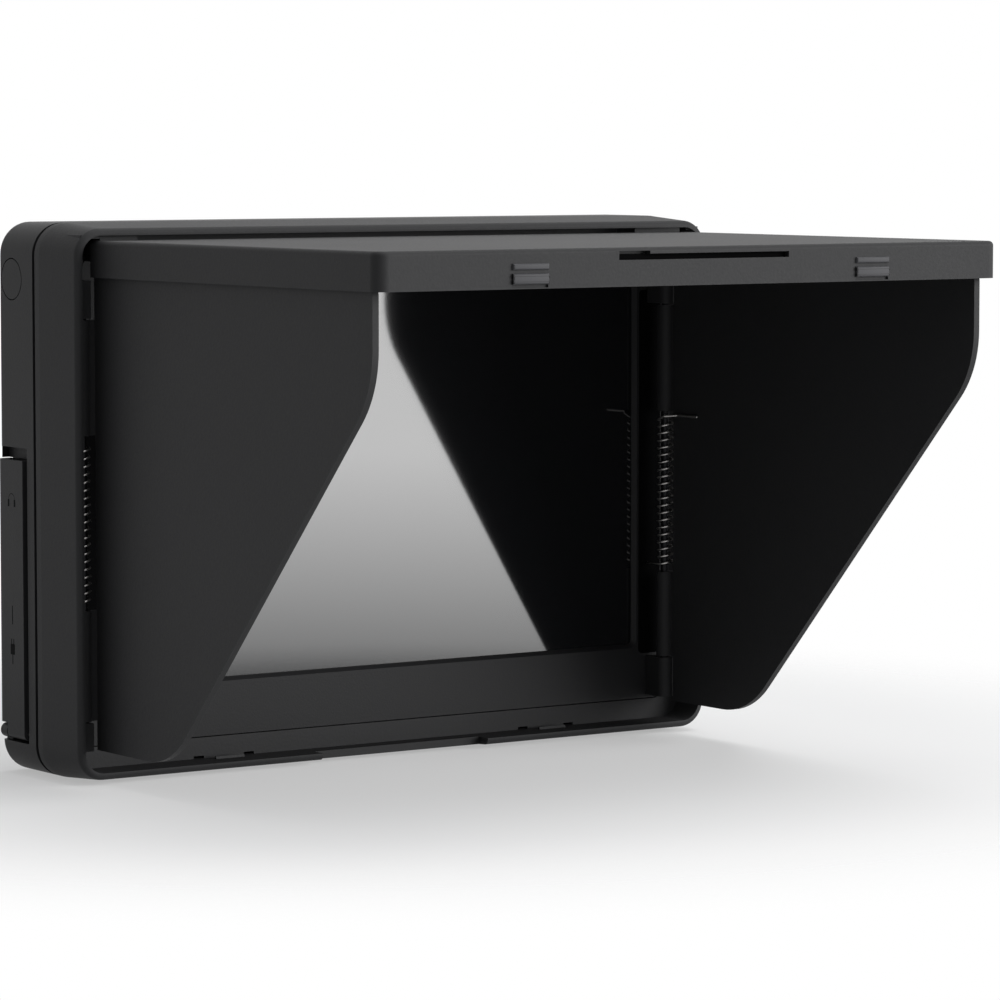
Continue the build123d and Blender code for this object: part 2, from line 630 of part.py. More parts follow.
def left_spring():
    """The left spring: its tail rests on the side wall, and its arm lies behind the wing's leg."""
    start_x = LEFT_AXIS_X - LEFT_SPRING_R + LEFT_WIRE / 2
    tail = [(start_x, LEFT_AXIS_Y, SPRING_LOW), (LEFT_WIRE / 2 - INNER_X, LEFT_AXIS_Y + 2.2, SPRING_LOW)]
    back = LEFT_AXIS_Y + 0.2 + LEFT_LEG + LEFT_WIRE / 2
    rise = SPRING_HIGH + 2 * SPRING_ROOM
    arm = [
        (start_x, LEFT_AXIS_Y, SPRING_HIGH), (start_x, back, SPRING_HIGH + 1.0), (start_x, back, rise),
        (-WING_OUT, back, rise),
    ]
    wound = torsion_coil(LEFT_AXIS_X, LEFT_AXIS_Y, LEFT_SPRING_R, LEFT_WIRE)
    return wound + bent_wire(tail, LEFT_WIRE / 2) + bent_wire(arm, LEFT_WIRE / 2)


def right_spring():
    """The right spring: its tail rests on the bezel, and its arm lies on the wing's inner face."""
    start_x = RIGHT_AXIS_X - RIGHT_SPRING_R + RIGHT_WIRE / 2
    tail = [(start_x, RIGHT_AXIS_Y, SPRING_LOW), (start_x, BEZEL_FACE - RIGHT_WIRE / 2, SPRING_LOW)]
    front = RIGHT_AXIS_Y - RIGHT_SPRING_R
    face = WING_IN - RIGHT_WIRE / 2
    arm = [
        (start_x, RIGHT_AXIS_Y, SPRING_HIGH), (start_x, front, SPRING_HIGH + 0.6),
        (face, front - 2.0, SPRING_HIGH + 0.8), (face, front - SPRING_ARM, SPRING_HIGH + 0.8),
    ]
    wound = torsion_coil(RIGHT_AXIS_X, RIGHT_AXIS_Y, RIGHT_SPRING_R, RIGHT_WIRE)
    return wound + bent_wire(tail, RIGHT_WIRE / 2) + bent_wire(arm, RIGHT_WIRE / 2)


def left_shaft():
    return rod(LEFT_AXIS_X, LEFT_AXIS_Y, SHAFT_FOOT, SHAFT_TOP, LEFT_SHAFT_R)


def right_shaft():
    return rod(RIGHT_AXIS_X, RIGHT_AXIS_Y, SHAFT_FOOT, SHAFT_TOP, RIGHT_SHAFT_R)


def front_bezel():
    """The monitor's front shell: the face round the window, a wall, and a band that fills the seam."""
    half, low, high = RING_X - FIT_GAP, RING_LOW + FIT_GAP, RING_HIGH - FIT_GAP
    face = plate(-half, half, BEZEL_FACE, BEZEL_BACK, low, high, BEZEL_CORNER)
    wall = plate(
        -SHELL_X, SHELL_X, BEZEL_SEAT, HOOD_DEPTH + 0.2, SHELL_LOW, SHELL_HIGH, CORNER - RIM_WALL - FIT_GAP,
    )
    band = body_plate(HOOD_DEPTH + 0.1, COVER_FRONT - 0.1, SEAM_SINK)
    back = COVER_FRONT + TONGUE
    tongue = body_plate(COVER_FRONT - 0.2, back, COVER_WALL + FIT_GAP)
    half, low, high = SHELL_X - BEZEL_WALL, SHELL_LOW + BEZEL_WALL, SHELL_HIGH - BEZEL_WALL
    hollow = plate(-half, half, BEZEL_BACK, back + 1, low, high, HOLLOW_CORNER)
    shell = face + wall + band + tongue - hollow
    for x, z in screw_places():
        shell += deep_rod(x, BEZEL_BACK - 0.5, back, z, POST_R)
        shell -= deep_rod(x, BEZEL_BACK, back + 1, z, SCREW_R)
    for x, z in tray_ears():
        shell += deep_rod(x, BEZEL_BACK - 0.5, TRAY_Y, z, EAR_POST_R)
        shell -= deep_rod(x, BEZEL_BACK, TRAY_Y + 1, z, SMALL_SCREW_R)
    relief = BOSS_W / 2 + 1
    shell -= slab(-relief, relief, COVER_FRONT, back + 1, BASE_Z, RING_LOW)
    shell -= plate(-WINDOW_X, WINDOW_X, 0, DEPTH, WINDOW_LOW, WINDOW_HIGH, WINDOW_CORNER)
    shell -= layer(GLASS_Y, BEZEL_SKIN, GLASS_LAP + FIT_GAP)
    rim = [
        edge for edge in edges_at(shell, Axis.Y, BEZEL_FACE)
        if abs(edge.center().X) < WINDOW_X + 0.1 and WINDOW_LOW - 0.1 < edge.center().Z < WINDOW_HIGH + 0.1
    ]
    return chamfer(rim, WINDOW_BEVEL)


def screw_places():
    """The centres of the four screws that join the shells."""
    return [(x, z) for x in (-SCREW_X, SCREW_X) for z in SCREW_HEIGHTS]


def layer(y0, thick, spare):
    """A flat sheet behind the window, larger than it by spare all round."""
    half = WINDOW_X + spare
    return slab(-half, half, y0, y0 + thick, WINDOW_LOW - spare, WINDOW_HIGH + spare)


def screen_glass():
    sheet = layer(GLASS_Y + 0.02, GLASS_T, GLASS_LAP)
    return fillet(sheet.edges().filter_by(Axis.Y), GLASS_CORNER)


def lcd_panel():
    return layer(PANEL_Y, PANEL_T, PANEL_LAP)


def backlight():
    """The light guide with its reflector frame."""
    frame = layer(LIGHT_Y, LIGHT_T, PANEL_LAP)
    return fillet(frame.edges().filter_by(Axis.Y), LIGHT_CORNER)


def tray_ears():
    """The centres of the four ears that hold the display to the bezel."""
    return [(side * EAR_X, z) for side in (-1, 1) for z in (WINDOW_LOW - EAR_OUT, WINDOW_HIGH + EAR_OUT)]


def board_posts():
    """The centres of the four posts that carry the circuit board."""
    half = BOARD_X - POST_INSET
    return [(side * half, z) for side in (-1, 1) for z in (BOARD_LOW + POST_INSET, BOARD_HIGH - POST_INSET)]


def panel_tray():
    """A shallow sheet-metal pan round the back of the display, with screw ears and board posts."""
    depth = TRAY_Y - LIGHT_Y
    lap = PANEL_LAP + 0.1
    pan = layer(LIGHT_Y, depth + TRAY_T, lap + TRAY_T) - layer(LIGHT_Y - 1, depth + 1, lap)
    for x, z in tray_ears():
        pan += plate(x - EAR_W / 2, x + EAR_W / 2, TRAY_Y, TRAY_Y + TRAY_T, z - EAR_H / 2, z + EAR_H / 2, 1.0)
        pan -= deep_rod(x, TRAY_Y - 1, TRAY_Y + 2, z, SMALL_SCREW_R + FIT_GAP)
    for x, z in board_posts():
        pan += deep_rod(x, TRAY_Y + TRAY_T / 2, BOARD_Y, z, EAR_POST_R)
        pan -= deep_rod(x, TRAY_Y + TRAY_T, BOARD_Y + 1, z, SMALL_SCREW_R)
    return pan


def cross_head(x, y, z, reach):
    """The cross cut in a screw's head, from y backwards."""
    bar = reach / 6
    cross = slab(x - reach, x + reach, y, y + 2, z - bar, z + bar)
    return cross + slab(x - bar, x + bar, y, y + 2, z - reach, z + reach)


def small_screw(x, y, z, length):
    """A pan-head screw along Y whose head lies behind y."""
    screw = deep_rod(x, y - length, y, z, SMALL_SCREW_R) + deep_rod(x, y, y + SMALL_HEAD_T, z, SMALL_HEAD_R)
    return screw - cross_head(x, y + SMALL_HEAD_T - SMALL_CROSS_DEEP, z, SMALL_CROSS)


def board_screws():
    """The screws that hold the tray to the bezel and the board to the tray."""
    screws = [small_screw(x, TRAY_Y + TRAY_T, z, TRAY_SCREW) for x, z in tray_ears()]
    screws += [small_screw(x, BOARD_BACK, z, BOARD_SCREW) for x, z in board_posts()]
    return Compound(children=screws)


def panel_ribbon():
    """The flat cable from the lower edge of the display, under the tray and up on to the board."""
    left, right, thick = RIBBON_X - RIBBON_W / 2, RIBBON_X + RIBBON_W / 2, RIBBON_T
    front, back = BEZEL_BACK + 0.2, BOARD_BACK + 0.1
    top = WINDOW_LOW - PANEL_LAP
    low = top - RIBBON_DROP
    drop = slab(left, right, front, front + thick, low, top)
    run = slab(left, right, front, back + thick, low, low + thick)
    return drop + run + slab(left, right, back, back + thick, low, BOARD_LOW + RIBBON_LAP)


def main_board():
    """The circuit board, on the tray's four posts."""
    board = plate(-BOARD_X, BOARD_X, BOARD_Y, BOARD_BACK, BOARD_LOW, BOARD_HIGH, BOARD_CORNER)
    for x, z in board_posts():
        board -= deep_rod(x, BOARD_Y - 1, BOARD_BACK + 1, z, SMALL_SCREW_R + FIT_GAP)
    return board


def board_chips():
    """The larger parts soldered to the back of the board."""
    chips = [
        slab(x, x + wide, BOARD_BACK, BOARD_BACK + tall, BOARD_HIGH - drop - high, BOARD_HIGH - drop)
        for x, wide, tall, drop, high in CHIPS
    ]
    half, low = RIBBON_W / 2 + 1, BOARD_LOW + RIBBON_LAP + 0.2
    chips.append(slab(RIBBON_X - half, RIBBON_X + half, BOARD_BACK, BOARD_BACK + PLUG_T, low, low + PLUG_H))
    for step in range(5):
        x = CAN_X + CAN_PITCH * step
        chips.append(deep_rod(x, BOARD_BACK, BOARD_BACK + CAN_T, BOARD_HIGH - CAN_DROP, CAN_R))
    return Compound(children=chips)


def cover_outside():
    """The rear cover's outer form, with its edges rounded towards the back."""
    return fillet(edges_at(body_plate(COVER_FRONT, DEPTH, 0), Axis.Y, DEPTH), COVER_EDGE)


def rear_cover():
    """The back shell, with the openings and bosses for the parts that it carries."""
    inner = body_plate(COVER_FRONT - 1, DEPTH - COVER_WALL, COVER_WALL)
    cover = cover_outside() - fillet(edges_at(inner, Axis.Y, DEPTH - COVER_WALL), COVER_EDGE)
    half = BOSS_W / 2
    boss = slab(-half, half, BOSS_FRONT - 0.6, DEPTH - 1, BASE_Z + 0.3, BASE_Z + BUSH_DEEP + BOSS_SKIN)
    cover += boss
    cover -= rod(0, BUSH_Y, BASE_Z - 1, BASE_Z + BUSH_DEEP, BUSH_OUT)
    cover = add_door_pocket(cover)
    cover = add_screw_bosses(cover)
    cover = cut_key_side(cover)
    cover -= slab(-PLATE_W / 2, PLATE_W / 2, DEPTH - COVER_WALL - 1, DEPTH + 1, PLATE_LOW, PLATE_HIGH)
    cover -= cap_hole(CAP_R)
    for step in range(-2, 3):
        reach = SPEAKER_R - GRILLE_IN - abs(step)
        x0, x1 = SPEAKER_X - reach, SPEAKER_X + reach
        z = SPEAKER_Z + GRILLE_PITCH * step
        cover -= plate(x0, x1, DEPTH - 3, DEPTH + 1, z - GRILLE_SLOT / 2, z + GRILLE_SLOT / 2, 0.55)
    return cover


def tripod_bush():
    """The threaded brass insert, its bore at the thread's outer size."""
    bush = rod(0, BUSH_Y, BASE_Z, BASE_Z + BUSH_DEEP, BUSH_OUT)
    return bush - rod(0, BUSH_Y, BASE_Z - 1, BASE_Z + BUSH_DEEP + 1, BUSH_R)


def add_door_pocket(cover):
    """The pocket that the sockets open into, wrapped round the cover's back edge."""
    top = POCKET_HIGH + NAIL_HEIGHT
    block = slab(-BODY_X, POCKET_X + POCKET_WALL, BOSS_FRONT, DEPTH - 1, BASE_Z + 1, top + POCKET_WALL)
    cover += block & cover_outside()
    cover -= slab(-BODY_X - 1, POCKET_X, POCKET_FRONT, DEPTH + 1, POCKET_LOW, POCKET_HIGH)
    cover += deep_rod(DOOR_AXIS_X, EAR_Y, DEPTH - EAR_SHORT, DOOR_AXIS_Z, DOOR_SKIN)
    cover += slab(
        DOOR_AXIS_X, POCKET_X + 0.3, EAR_Y, DEPTH - EAR_SHORT, POCKET_LOW - 0.3, DOOR_AXIS_Z + DOOR_SKIN,
    )
    cover -= door_pin()
    cover -= slab(-BODY_X - 1, NAIL_DEEP - BODY_X, POCKET_FRONT, DEPTH - 0.5, POCKET_HIGH - 0.1, top)
    cover -= slab(
        POCKET_X - 1, POCKET_X + POCKET_WALL + 1, SOCKET_Y - HDMI_H / 2 - 0.1, SOCKET_Y + HDMI_H / 2 + 0.1,
        HDMI_Z - HDMI_W / 2 - FIT_GAP, HDMI_Z + HDMI_W / 2 + FIT_GAP,
    )
    for z in (PHONE_Z, POWER_Z):
        cover -= cross_rod(POCKET_X - 1, POCKET_X + POCKET_WALL + 1, SOCKET_Y, z, SOCKET_R + FIT_GAP)
    return cover


def connector_door():
    """The flap over the sockets. Its rounded lower edge turns on the pin, and it wraps the back edge."""
    back = DEPTH + DOOR_PROUD
    door = slab(DOOR_X, DOOR_AXIS_X, DOOR_FRONT, back, DOOR_AXIS_Z, DOOR_HIGH)
    door += slab(DOOR_X, POCKET_X - FIT_GAP, back - DOOR_SKIN, back, DOOR_AXIS_Z, DOOR_HIGH)
    corner = [
        edge for edge in door.edges().filter_by(Axis.Z)
        if edge.center().X < DOOR_X + 0.01 and edge.center().Y > DEPTH
    ]
    door = fillet(corner, COVER_EDGE + DOOR_PROUD)
    ear_front = EAR_Y - MOVE_GAP
    door -= slab(
        DOOR_X - 1, POCKET_X, ear_front, back + 1, POCKET_LOW, DOOR_AXIS_Z + DOOR_SKIN + MOVE_GAP,
    )
    door += deep_rod(DOOR_AXIS_X, DOOR_FRONT, ear_front, DOOR_AXIS_Z, DOOR_SKIN)
    return door - deep_rod(DOOR_AXIS_X, POCKET_FRONT, back, DOOR_AXIS_Z, DOOR_PIN_R + RUN_GAP)


def door_pin():
    return deep_rod(DOOR_AXIS_X, POCKET_FRONT - DOOR_PIN_HOLD, EAR_Y + EAR_HOLD, DOOR_AXIS_Z, DOOR_PIN_R)


def hdmi_socket():
    """A small flat socket with a tongue inside."""
    front, wide, high = POCKET_X + 0.1, HDMI_W / 2, HDMI_H / 2
    shell = slab(front, SOCKET_BACK, SOCKET_Y - high, SOCKET_Y + high, HDMI_Z - wide, HDMI_Z + wide)
    wide, high = wide - HDMI_SHEET, high - HDMI_SHEET
    front, back = SOCKET_Y - high, SOCKET_Y + high
    shell -= slab(POCKET_X, SOCKET_BACK - 1, front, back, HDMI_Z - wide, HDMI_Z + wide)
    front, back = SOCKET_Y - HDMI_TONGUE / 2, SOCKET_Y + HDMI_TONGUE / 2
    low, high = HDMI_Z - HDMI_REACH, HDMI_Z + HDMI_REACH
    return shell + slab(POCKET_X + 1, SOCKET_BACK - 0.5, front, back, low, high)


def round_socket(z, bore):
    """A round socket body with a plain bore."""
    body = cross_rod(POCKET_X + 0.1, SOCKET_BACK, SOCKET_Y, z, SOCKET_R)
    return body - cross_rod(POCKET_X, SOCKET_BACK - 1, SOCKET_Y, z, bore)


def phone_socket():
    """A round socket for a small stereo plug."""
    return round_socket(PHONE_Z, PHONE_BORE)


def power_socket():
    """A round socket with a centre pin."""
    pin = cross_rod(POCKET_X + 1, SOCKET_BACK - 0.5, SOCKET_Y, POWER_Z, POWER_PIN_R)
    return round_socket(POWER_Z, POWER_BORE) + pin


def socket_board():
    """The small upright board that the three sockets are soldered to."""
    return slab(SOCKET_BACK, SOCKET_BACK + 1.0, BOSS_FRONT + FIT_GAP, DEPTH - 2.1, POWER_Z - 6, HDMI_Z + 8)


def cap_hole(radius):
    return cross_rod(-BODY_X - 1, COVER_WALL + 1 - BODY_X, CAP_Y, CAP_Z, radius)


def side_cap():
    """The round plug high on the left side, which follows the cover's rounded edge."""
    disc = cover_outside() & cap_hole(CAP_R - FIT_GAP)
    return disc - cross_rod(COVER_WALL - 0.2 - BODY_X, 0, CAP_Y, CAP_Z, CAP_R + 1)


def add_screw_bosses(cover):
    """Four bosses that meet the bezel's posts, each with a sunk seat for a screw's head."""
    for x, z in screw_places():
        cover += deep_rod(x, BOSS_FRONT, DEPTH - 1, z, SCREW_HEAD_R + BOSS_WALL)
        cover -= deep_rod(x, BOSS_FRONT - 1, DEPTH + 1, z, SCREW_R + FIT_GAP)
        cover -= deep_rod(x, DEPTH - SCREW_SEAT, DEPTH + 1, z, SCREW_HEAD_R + FIT_GAP)
    return cover


def case_screws():
    """Four cross-head screws from the back into the bezel's posts."""
    seat = DEPTH - SCREW_SEAT
    screws = []
    for x, z in screw_places():
        screw = deep_rod(x, BEZEL_BACK + 1, seat, z, SCREW_R)
        screw += deep_rod(x, seat, seat + SCREW_HEAD_T, z, SCREW_HEAD_R)
        screws.append(screw - cross_head(x, seat + SCREW_HEAD_T - SCREW_CROSS_DEEP, z, SCREW_CROSS))
    return Compound(children=screws)


def key_band(x0, x1, deep, low, high, spare):
    """A block in the row of controls, larger than its part by spare across and along the row."""
    half = deep / 2 + spare
    return slab(x0, x1, KEY_Y - half, KEY_Y + half, low - spare, high + spare)


def cut_key_side(cover):
    """The holes, dial slot, slider track and spindle ears on the right side."""
    inside, outside = KEY_WALL - 1.2, BODY_X + 1
    for z in KEY_HEIGHTS:
        cover -= key_band(inside, outside, KEY_D, z - KEY_H / 2, z + KEY_H / 2, FIT_GAP)
    gap_low, gap_high = KEY_Y - DIAL_T / 2 - DIAL_GAP, KEY_Y + DIAL_T / 2 + DIAL_GAP
    for y0, y1 in ((gap_low - DIAL_EAR, gap_low), (gap_high, DEPTH - 1)):
        cover += slab(
            DIAL_X - DIAL_EAR_HALF, BODY_X - 1, y0, y1, DIAL_Z - DIAL_EAR_HALF, DIAL_Z + DIAL_EAR_HALF,
        )
    cover -= dial_spindle()
    cover -= deep_rod(DIAL_X, gap_low, gap_high, DIAL_Z, DIAL_R + DIAL_GAP)
    low, high = SLIDER_Z - SLIDER_H / 2, SLIDER_Z + SLIDER_H / 2 + SLIDER_TRAVEL
    cover -= key_band(BODY_X - SLIDER_SINK, outside, SLIDER_D, low, high, MOVE_GAP)
    low, high = SLIDER_Z - STEM_H / 2, SLIDER_Z + STEM_H / 2 + SLIDER_TRAVEL
    return cover - key_band(inside, BODY_X, STEM_D, low, high, MOVE_GAP)


def push_key(z):
    """A button with a flange that keeps it inside the wall."""
    top = BODY_X + KEY_PROUD
    low, high = z - KEY_H / 2, z + KEY_H / 2
    key = key_band(KEY_WALL - 0.3, top, KEY_D, low, high, 0)
    key = fillet(edges_at(key, Axis.X, top), KEY_ROUND)
    return key + key_band(KEY_WALL - 0.15 - KEY_FLANGE, KEY_WALL - 0.15, KEY_D, low, high, KEY_LEDGE)


def menu_button():
    return push_key(KEY_HEIGHTS[0])


def peaking_button():
    return push_key(KEY_HEIGHTS[1])


def input_button():
    return push_key(KEY_HEIGHTS[2])


def key_board():
    """The strip of circuit board behind the buttons, with a switch for each."""
    face = KEY_WALL - 0.15 - KEY_FLANGE - KEY_TRAVEL - 0.2
    board = key_band(face - 2.0, face - 1.0, 6.4, KEY_HEIGHTS[-1] - 5, KEY_HEIGHTS[0] + 5, 0)
    for z in KEY_HEIGHTS:
        board += key_band(face - 1.1, face - 0.5, 3.2, z - 1.6, z + 1.6, 0)
        board += cross_rod(face - 0.6, face, KEY_Y, z, 1.0)
    return board


def control_dial():
    """A thumb wheel with a notched rim, turned on a spindle along Y."""
    wheel = Rot(90, 0, 0) * Cylinder(DIAL_R, DIAL_T)
    wheel = chamfer(wheel.edges().filter_by(GeomType.CIRCLE), DIAL_BEVEL)
    for step in range(DIAL_TEETH):
        turn = 2 * pi * step / DIAL_TEETH
        notch = Rot(0, 45 - degrees(turn), 0) * Box(DIAL_TOOTH, DIAL_T + 1, DIAL_TOOTH)
        wheel -= Pos(DIAL_R * cos(turn), 0, DIAL_R * sin(turn)) * notch
    wheel -= Rot(90, 0, 0) * Cylinder(SPINDLE_R + RUN_GAP, DIAL_T + 1)
    return Pos(DIAL_X, KEY_Y, DIAL_Z) * wheel


def dial_spindle():
    reach = DIAL_T / 2 + DIAL_GAP + DIAL_EAR
    return deep_rod(DIAL_X, KEY_Y - reach, KEY_Y + reach, DIAL_Z, SPINDLE_R)


def power_slider():
    """The on-off knob: a ribbed pad in a shallow track, a stem and a keeper inside the wall."""
    pad_in, pad_out = BODY_X - SLIDER_SINK + 0.15, BODY_X + SLIDER_PROUD
    knob = key_band(pad_in, pad_out, SLIDER_D, SLIDER_Z - SLIDER_H / 2, SLIDER_Z + SLIDER_H / 2, 0)
    for step in range(-2, 3):
        rib = SLIDER_Z + SLIDER_PITCH * step
        low, high = rib - SLIDER_RIB / 2, rib + SLIDER_RIB / 2
        knob += key_band(pad_out, pad_out + SLIDER_RIDGE, SLIDER_D, low, high, 0)
    knob += key_band(KEY_WALL - 1.0, pad_in, STEM_D, SLIDER_Z - STEM_H / 2, SLIDER_Z + STEM_H / 2, 0)
    low, high = SLIDER_Z - KEEPER_H / 2, SLIDER_Z + KEEPER_H / 2
    return knob + key_band(KEY_WALL - 1.0, KEY_WALL - 0.2, KEEPER_D, low, high, 0)


def slide_switch():
    """The switch body that the slider's keeper moves."""
    face = KEY_WALL - 1.0 - FIT_GAP
    low, high = SLIDER_Z - SWITCH_H / 2, SLIDER_Z + SWITCH_H / 2 + SLIDER_TRAVEL
    return key_band(face - SWITCH_T, face, SWITCH_D, low, high, 0)


def battery_plate():
    """The battery well: a floor, a wall round it, a flange behind the cover and two pairs of rails."""
    half = PLATE_W / 2 - FIT_GAP
    low, high = PLATE_LOW + FIT_GAP, PLATE_HIGH - FIT_GAP
    floor_back = WELL_Y - PLATE_SKIN
    tray = slab(-half, half, floor_back, DEPTH, low, high)
    tray += slab(
        -half - PLATE_FLANGE, half + PLATE_FLANGE, floor_back, DEPTH - COVER_WALL - FIT_GAP,
        low - PLATE_FLANGE, high + PLATE_FLANGE,
    )
    inner = half - PLATE_SKIN
    tray -= plate(-inner, inner, WELL_Y, DEPTH + 1, low + PLATE_SKIN, high - PLATE_SKIN, 1.5)
    for x0, x1 in ((-inner - 0.5, RAIL_REACH - inner), (inner - RAIL_REACH, inner + 0.5)):
        for z in (PLATE_Z - RAIL_SPREAD, PLATE_Z + RAIL_SPREAD):
            tray += slab(x0, x1, DEPTH - RAIL_THICK, DEPTH, z - RAIL_HALF, z + RAIL_HALF)
    reach = RELEASE_W / 2 + FIT_GAP
    tray -= slab(
        -reach, reach, floor_back - 1, WELL_Y + 1, RELEASE_LOW - FIT_GAP, RELEASE_LOW + RELEASE_H + FIT_GAP,
    )
    for x in (-CONTACT_PITCH, 0, CONTACT_PITCH):
        tray -= contact_blade(x, floor_back - 1, WELL_Y + 1, CONTACT_ROOM)
    return tray


def contact_blade(x, front, back, spare):
    """An upright block at one of the contacts, larger than the blade by spare."""
    half = CONTACT_W / 2 + spare
    tall = CONTACT_H / 2 + 2 * spare
    return slab(x - half, x + half, front, back, CONTACT_Z - tall, CONTACT_Z + tall)


def battery_contacts():
    """Three sprung blades that stand up through the floor of the well."""
    blades = [
        contact_blade(x, WELL_Y - CONTACT_TAIL, WELL_Y + CONTACT_PROUD, 0)
        for x in (-CONTACT_PITCH, 0, CONTACT_PITCH)
    ]
    return Compound(children=blades)


def battery_release():
    """The catch at the foot of the well: pressed in, it lets the battery slide off."""
    half = RELEASE_W / 2
    back, top = WELL_Y - RELEASE_IN, WELL_Y + RELEASE_PROUD
    key = slab(-half, half, back, top, RELEASE_LOW, RELEASE_LOW + RELEASE_H)
    key = chamfer(edges_at(key, Axis.Y, top).sort_by(Axis.Z)[-1:], RELEASE_RAMP)
    low, high = RELEASE_LOW - RELEASE_LEDGE, RELEASE_LOW + RELEASE_H + RELEASE_LEDGE
    return key + slab(-half - RELEASE_LEDGE, half + RELEASE_LEDGE, back, WELL_Y - PLATE_SKIN - 0.1, low, high)


def release_spring():
    """The coil spring behind the battery catch, standing on the circuit board."""
    back, wire = WELL_Y - RELEASE_IN, RELEASE_WIRE
    length = back - BOARD_BACK - wire
    wound = coil(length / RELEASE_TURNS, length, RELEASE_COIL_R, wire)
    return Pos(0, back - wire / 2, RELEASE_LOW + RELEASE_H / 2) * Rot(90, 0, 0) * wound


def speaker():
    """A small round loudspeaker behind the slots."""
    back = DEPTH - COVER_WALL - 0.1
    rear = back - SPEAKER_T
    body = deep_rod(SPEAKER_X, rear, back, SPEAKER_Z, SPEAKER_R)
    return body + deep_rod(SPEAKER_X, rear + 0.1 - MAGNET_T, rear + 0.1, SPEAKER_Z, SPEAKER_R - MAGNET_IN)


PARTS = {
    "hood_frame": hood_frame,
    "hood_lid": hood_lid,
    "lid_pins": lid_pins,
    "left_wing": left_wing,
    "right_wing": right_wing,
    "left_shaft": left_shaft,
    "right_shaft": right_shaft,
    "left_spring": left_spring,
    "right_spring": right_spring,
    "front_bezel": front_bezel,
    "screen_glass": screen_glass,
    "lcd_panel": lcd_panel,
    "backlight": backlight,
    "panel_tray": panel_tray,
    "board_screws": board_screws,
    "panel_ribbon": panel_ribbon,
    "main_board": main_board,
    "board_chips": board_chips,
    "rear_cover": rear_cover,
    "case_screws": case_screws,
    "tripod_bush": tripod_bush,
    "side_cap": side_cap,
    "connector_door": connector_door,
    "door_pin": door_pin,
    "socket_board": socket_board,
    "hdmi_socket": hdmi_socket,
    "phone_socket": phone_socket,
    "power_socket": power_socket,
    "menu_button": menu_button,
    "peaking_button": peaking_button,
    "input_button": input_button,
    "key_board": key_board,
    "control_dial": control_dial,
    "dial_spindle": dial_spindle,
    "power_slider": power_slider,
    "slide_switch": slide_switch,
    "battery_plate": battery_plate,
    "battery_contacts": battery_contacts,
    "battery_release": battery_release,
    "release_spring": release_spring,
    "speaker": speaker,
}

if __name__ == "__main__":
    os.makedirs("parts", exist_ok=True)
    for name, make in PARTS.items():
        export_step(Pos(0, -BUSH_Y, BELLY) * make(), f"parts/{name}.step")
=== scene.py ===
"""The looks of a small camera monitor with a folding sun hood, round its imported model.

Laid out as an add-on: settings as properties, one operator for each group of pieces, and a panel that
lists them. The constants are in millimetres, but for those of the stage, which are in metres and watts.
"""
import math

import bmesh
import bpy
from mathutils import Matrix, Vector


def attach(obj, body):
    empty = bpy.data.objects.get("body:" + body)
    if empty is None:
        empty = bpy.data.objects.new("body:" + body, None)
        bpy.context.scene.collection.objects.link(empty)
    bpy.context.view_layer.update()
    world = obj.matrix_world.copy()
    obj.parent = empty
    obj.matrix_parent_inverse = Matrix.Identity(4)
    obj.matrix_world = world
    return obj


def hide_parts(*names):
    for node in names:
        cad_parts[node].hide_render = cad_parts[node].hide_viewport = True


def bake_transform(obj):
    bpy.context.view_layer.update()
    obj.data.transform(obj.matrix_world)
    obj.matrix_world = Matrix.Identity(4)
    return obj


bl_info = {
    "name": "Sun-hood Monitor",
    "version": (1, 0, 0),
    "blender": (4, 5, 0),
    "location": "3D View > Sidebar > Monitor",
    "description": "Finishes and small pieces of a camera monitor with a folding sun hood",
    "category": "Object",
}

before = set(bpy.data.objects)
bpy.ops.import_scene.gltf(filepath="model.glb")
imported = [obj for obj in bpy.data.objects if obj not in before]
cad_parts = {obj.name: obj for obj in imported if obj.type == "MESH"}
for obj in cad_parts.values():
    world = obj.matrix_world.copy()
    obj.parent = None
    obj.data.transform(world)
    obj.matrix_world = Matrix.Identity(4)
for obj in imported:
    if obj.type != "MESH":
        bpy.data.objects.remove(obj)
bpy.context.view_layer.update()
MM = 0.001
SAME = 0.001  # places nearer than this are one place

# Stage
SENSOR_WIDTH, NEAR_CLIP = 36.0, 0.05  # the sensor alone is in millimetres
LAMPS = (  # name, place, aim, width and height, power
    ("front_right", (0.83, -1.00, 0.25), (0.0, -0.05, 0.05), (0.95, 0.97), 20.5),
    ("overhead", (0.3, -0.2, 1.3), (0.0, 0.0, 0.05), (1.2, 1.0), 9.0),
    ("back_right", (1.0, 0.9, 0.4), (0.0, 0.0, 0.05), (0.4, 0.5), 0.25),
)
FOOT_LOW, FOOT_HIGH = 0.094, 0.198  # the front lamp's foot, as shares of the lamp's height
FOOT_GLOW = 0.27  # how bright it is at its lowest
SKY_COLOUR, SKY_STRENGTH = (0.95, 0.97, 1.0, 1), 0.25
FLOOR_DROP, FLOOR_SIDES = 0.0002, 128
FLOOR_FADE_START, FLOOR_FADE_END = 0.11, 0.2  # how far out the floor thins
FLOOR_GLOW = 0.4  # share of white in the floor where it is seen

# CAD nodes that share a finish
HOOD_NODES = ("hood_frame", "hood_lid", "left_wing", "right_wing")
CASE_NODES = ("front_bezel", "rear_cover", "battery_plate", "side_cap", "connector_door")
CONTROL_NODES = (
    "menu_button", "peaking_button", "input_button", "control_dial", "power_slider", "battery_release",
)
STEEL_NODES = ("panel_tray", "door_pin", "dial_spindle", "release_spring", "hdmi_socket")
BLACK_STEEL_NODES = ("lid_pins", "left_spring", "right_spring", "case_screws", "board_screws")
SHAFT_NODES = ("left_shaft", "right_shaft")
BRASS_NODES = ("tripod_bush", "battery_contacts")
BOARD_NODES = ("main_board", "socket_board", "key_board")
CHIP_NODES = ("board_chips", "phone_socket", "power_socket", "slide_switch")

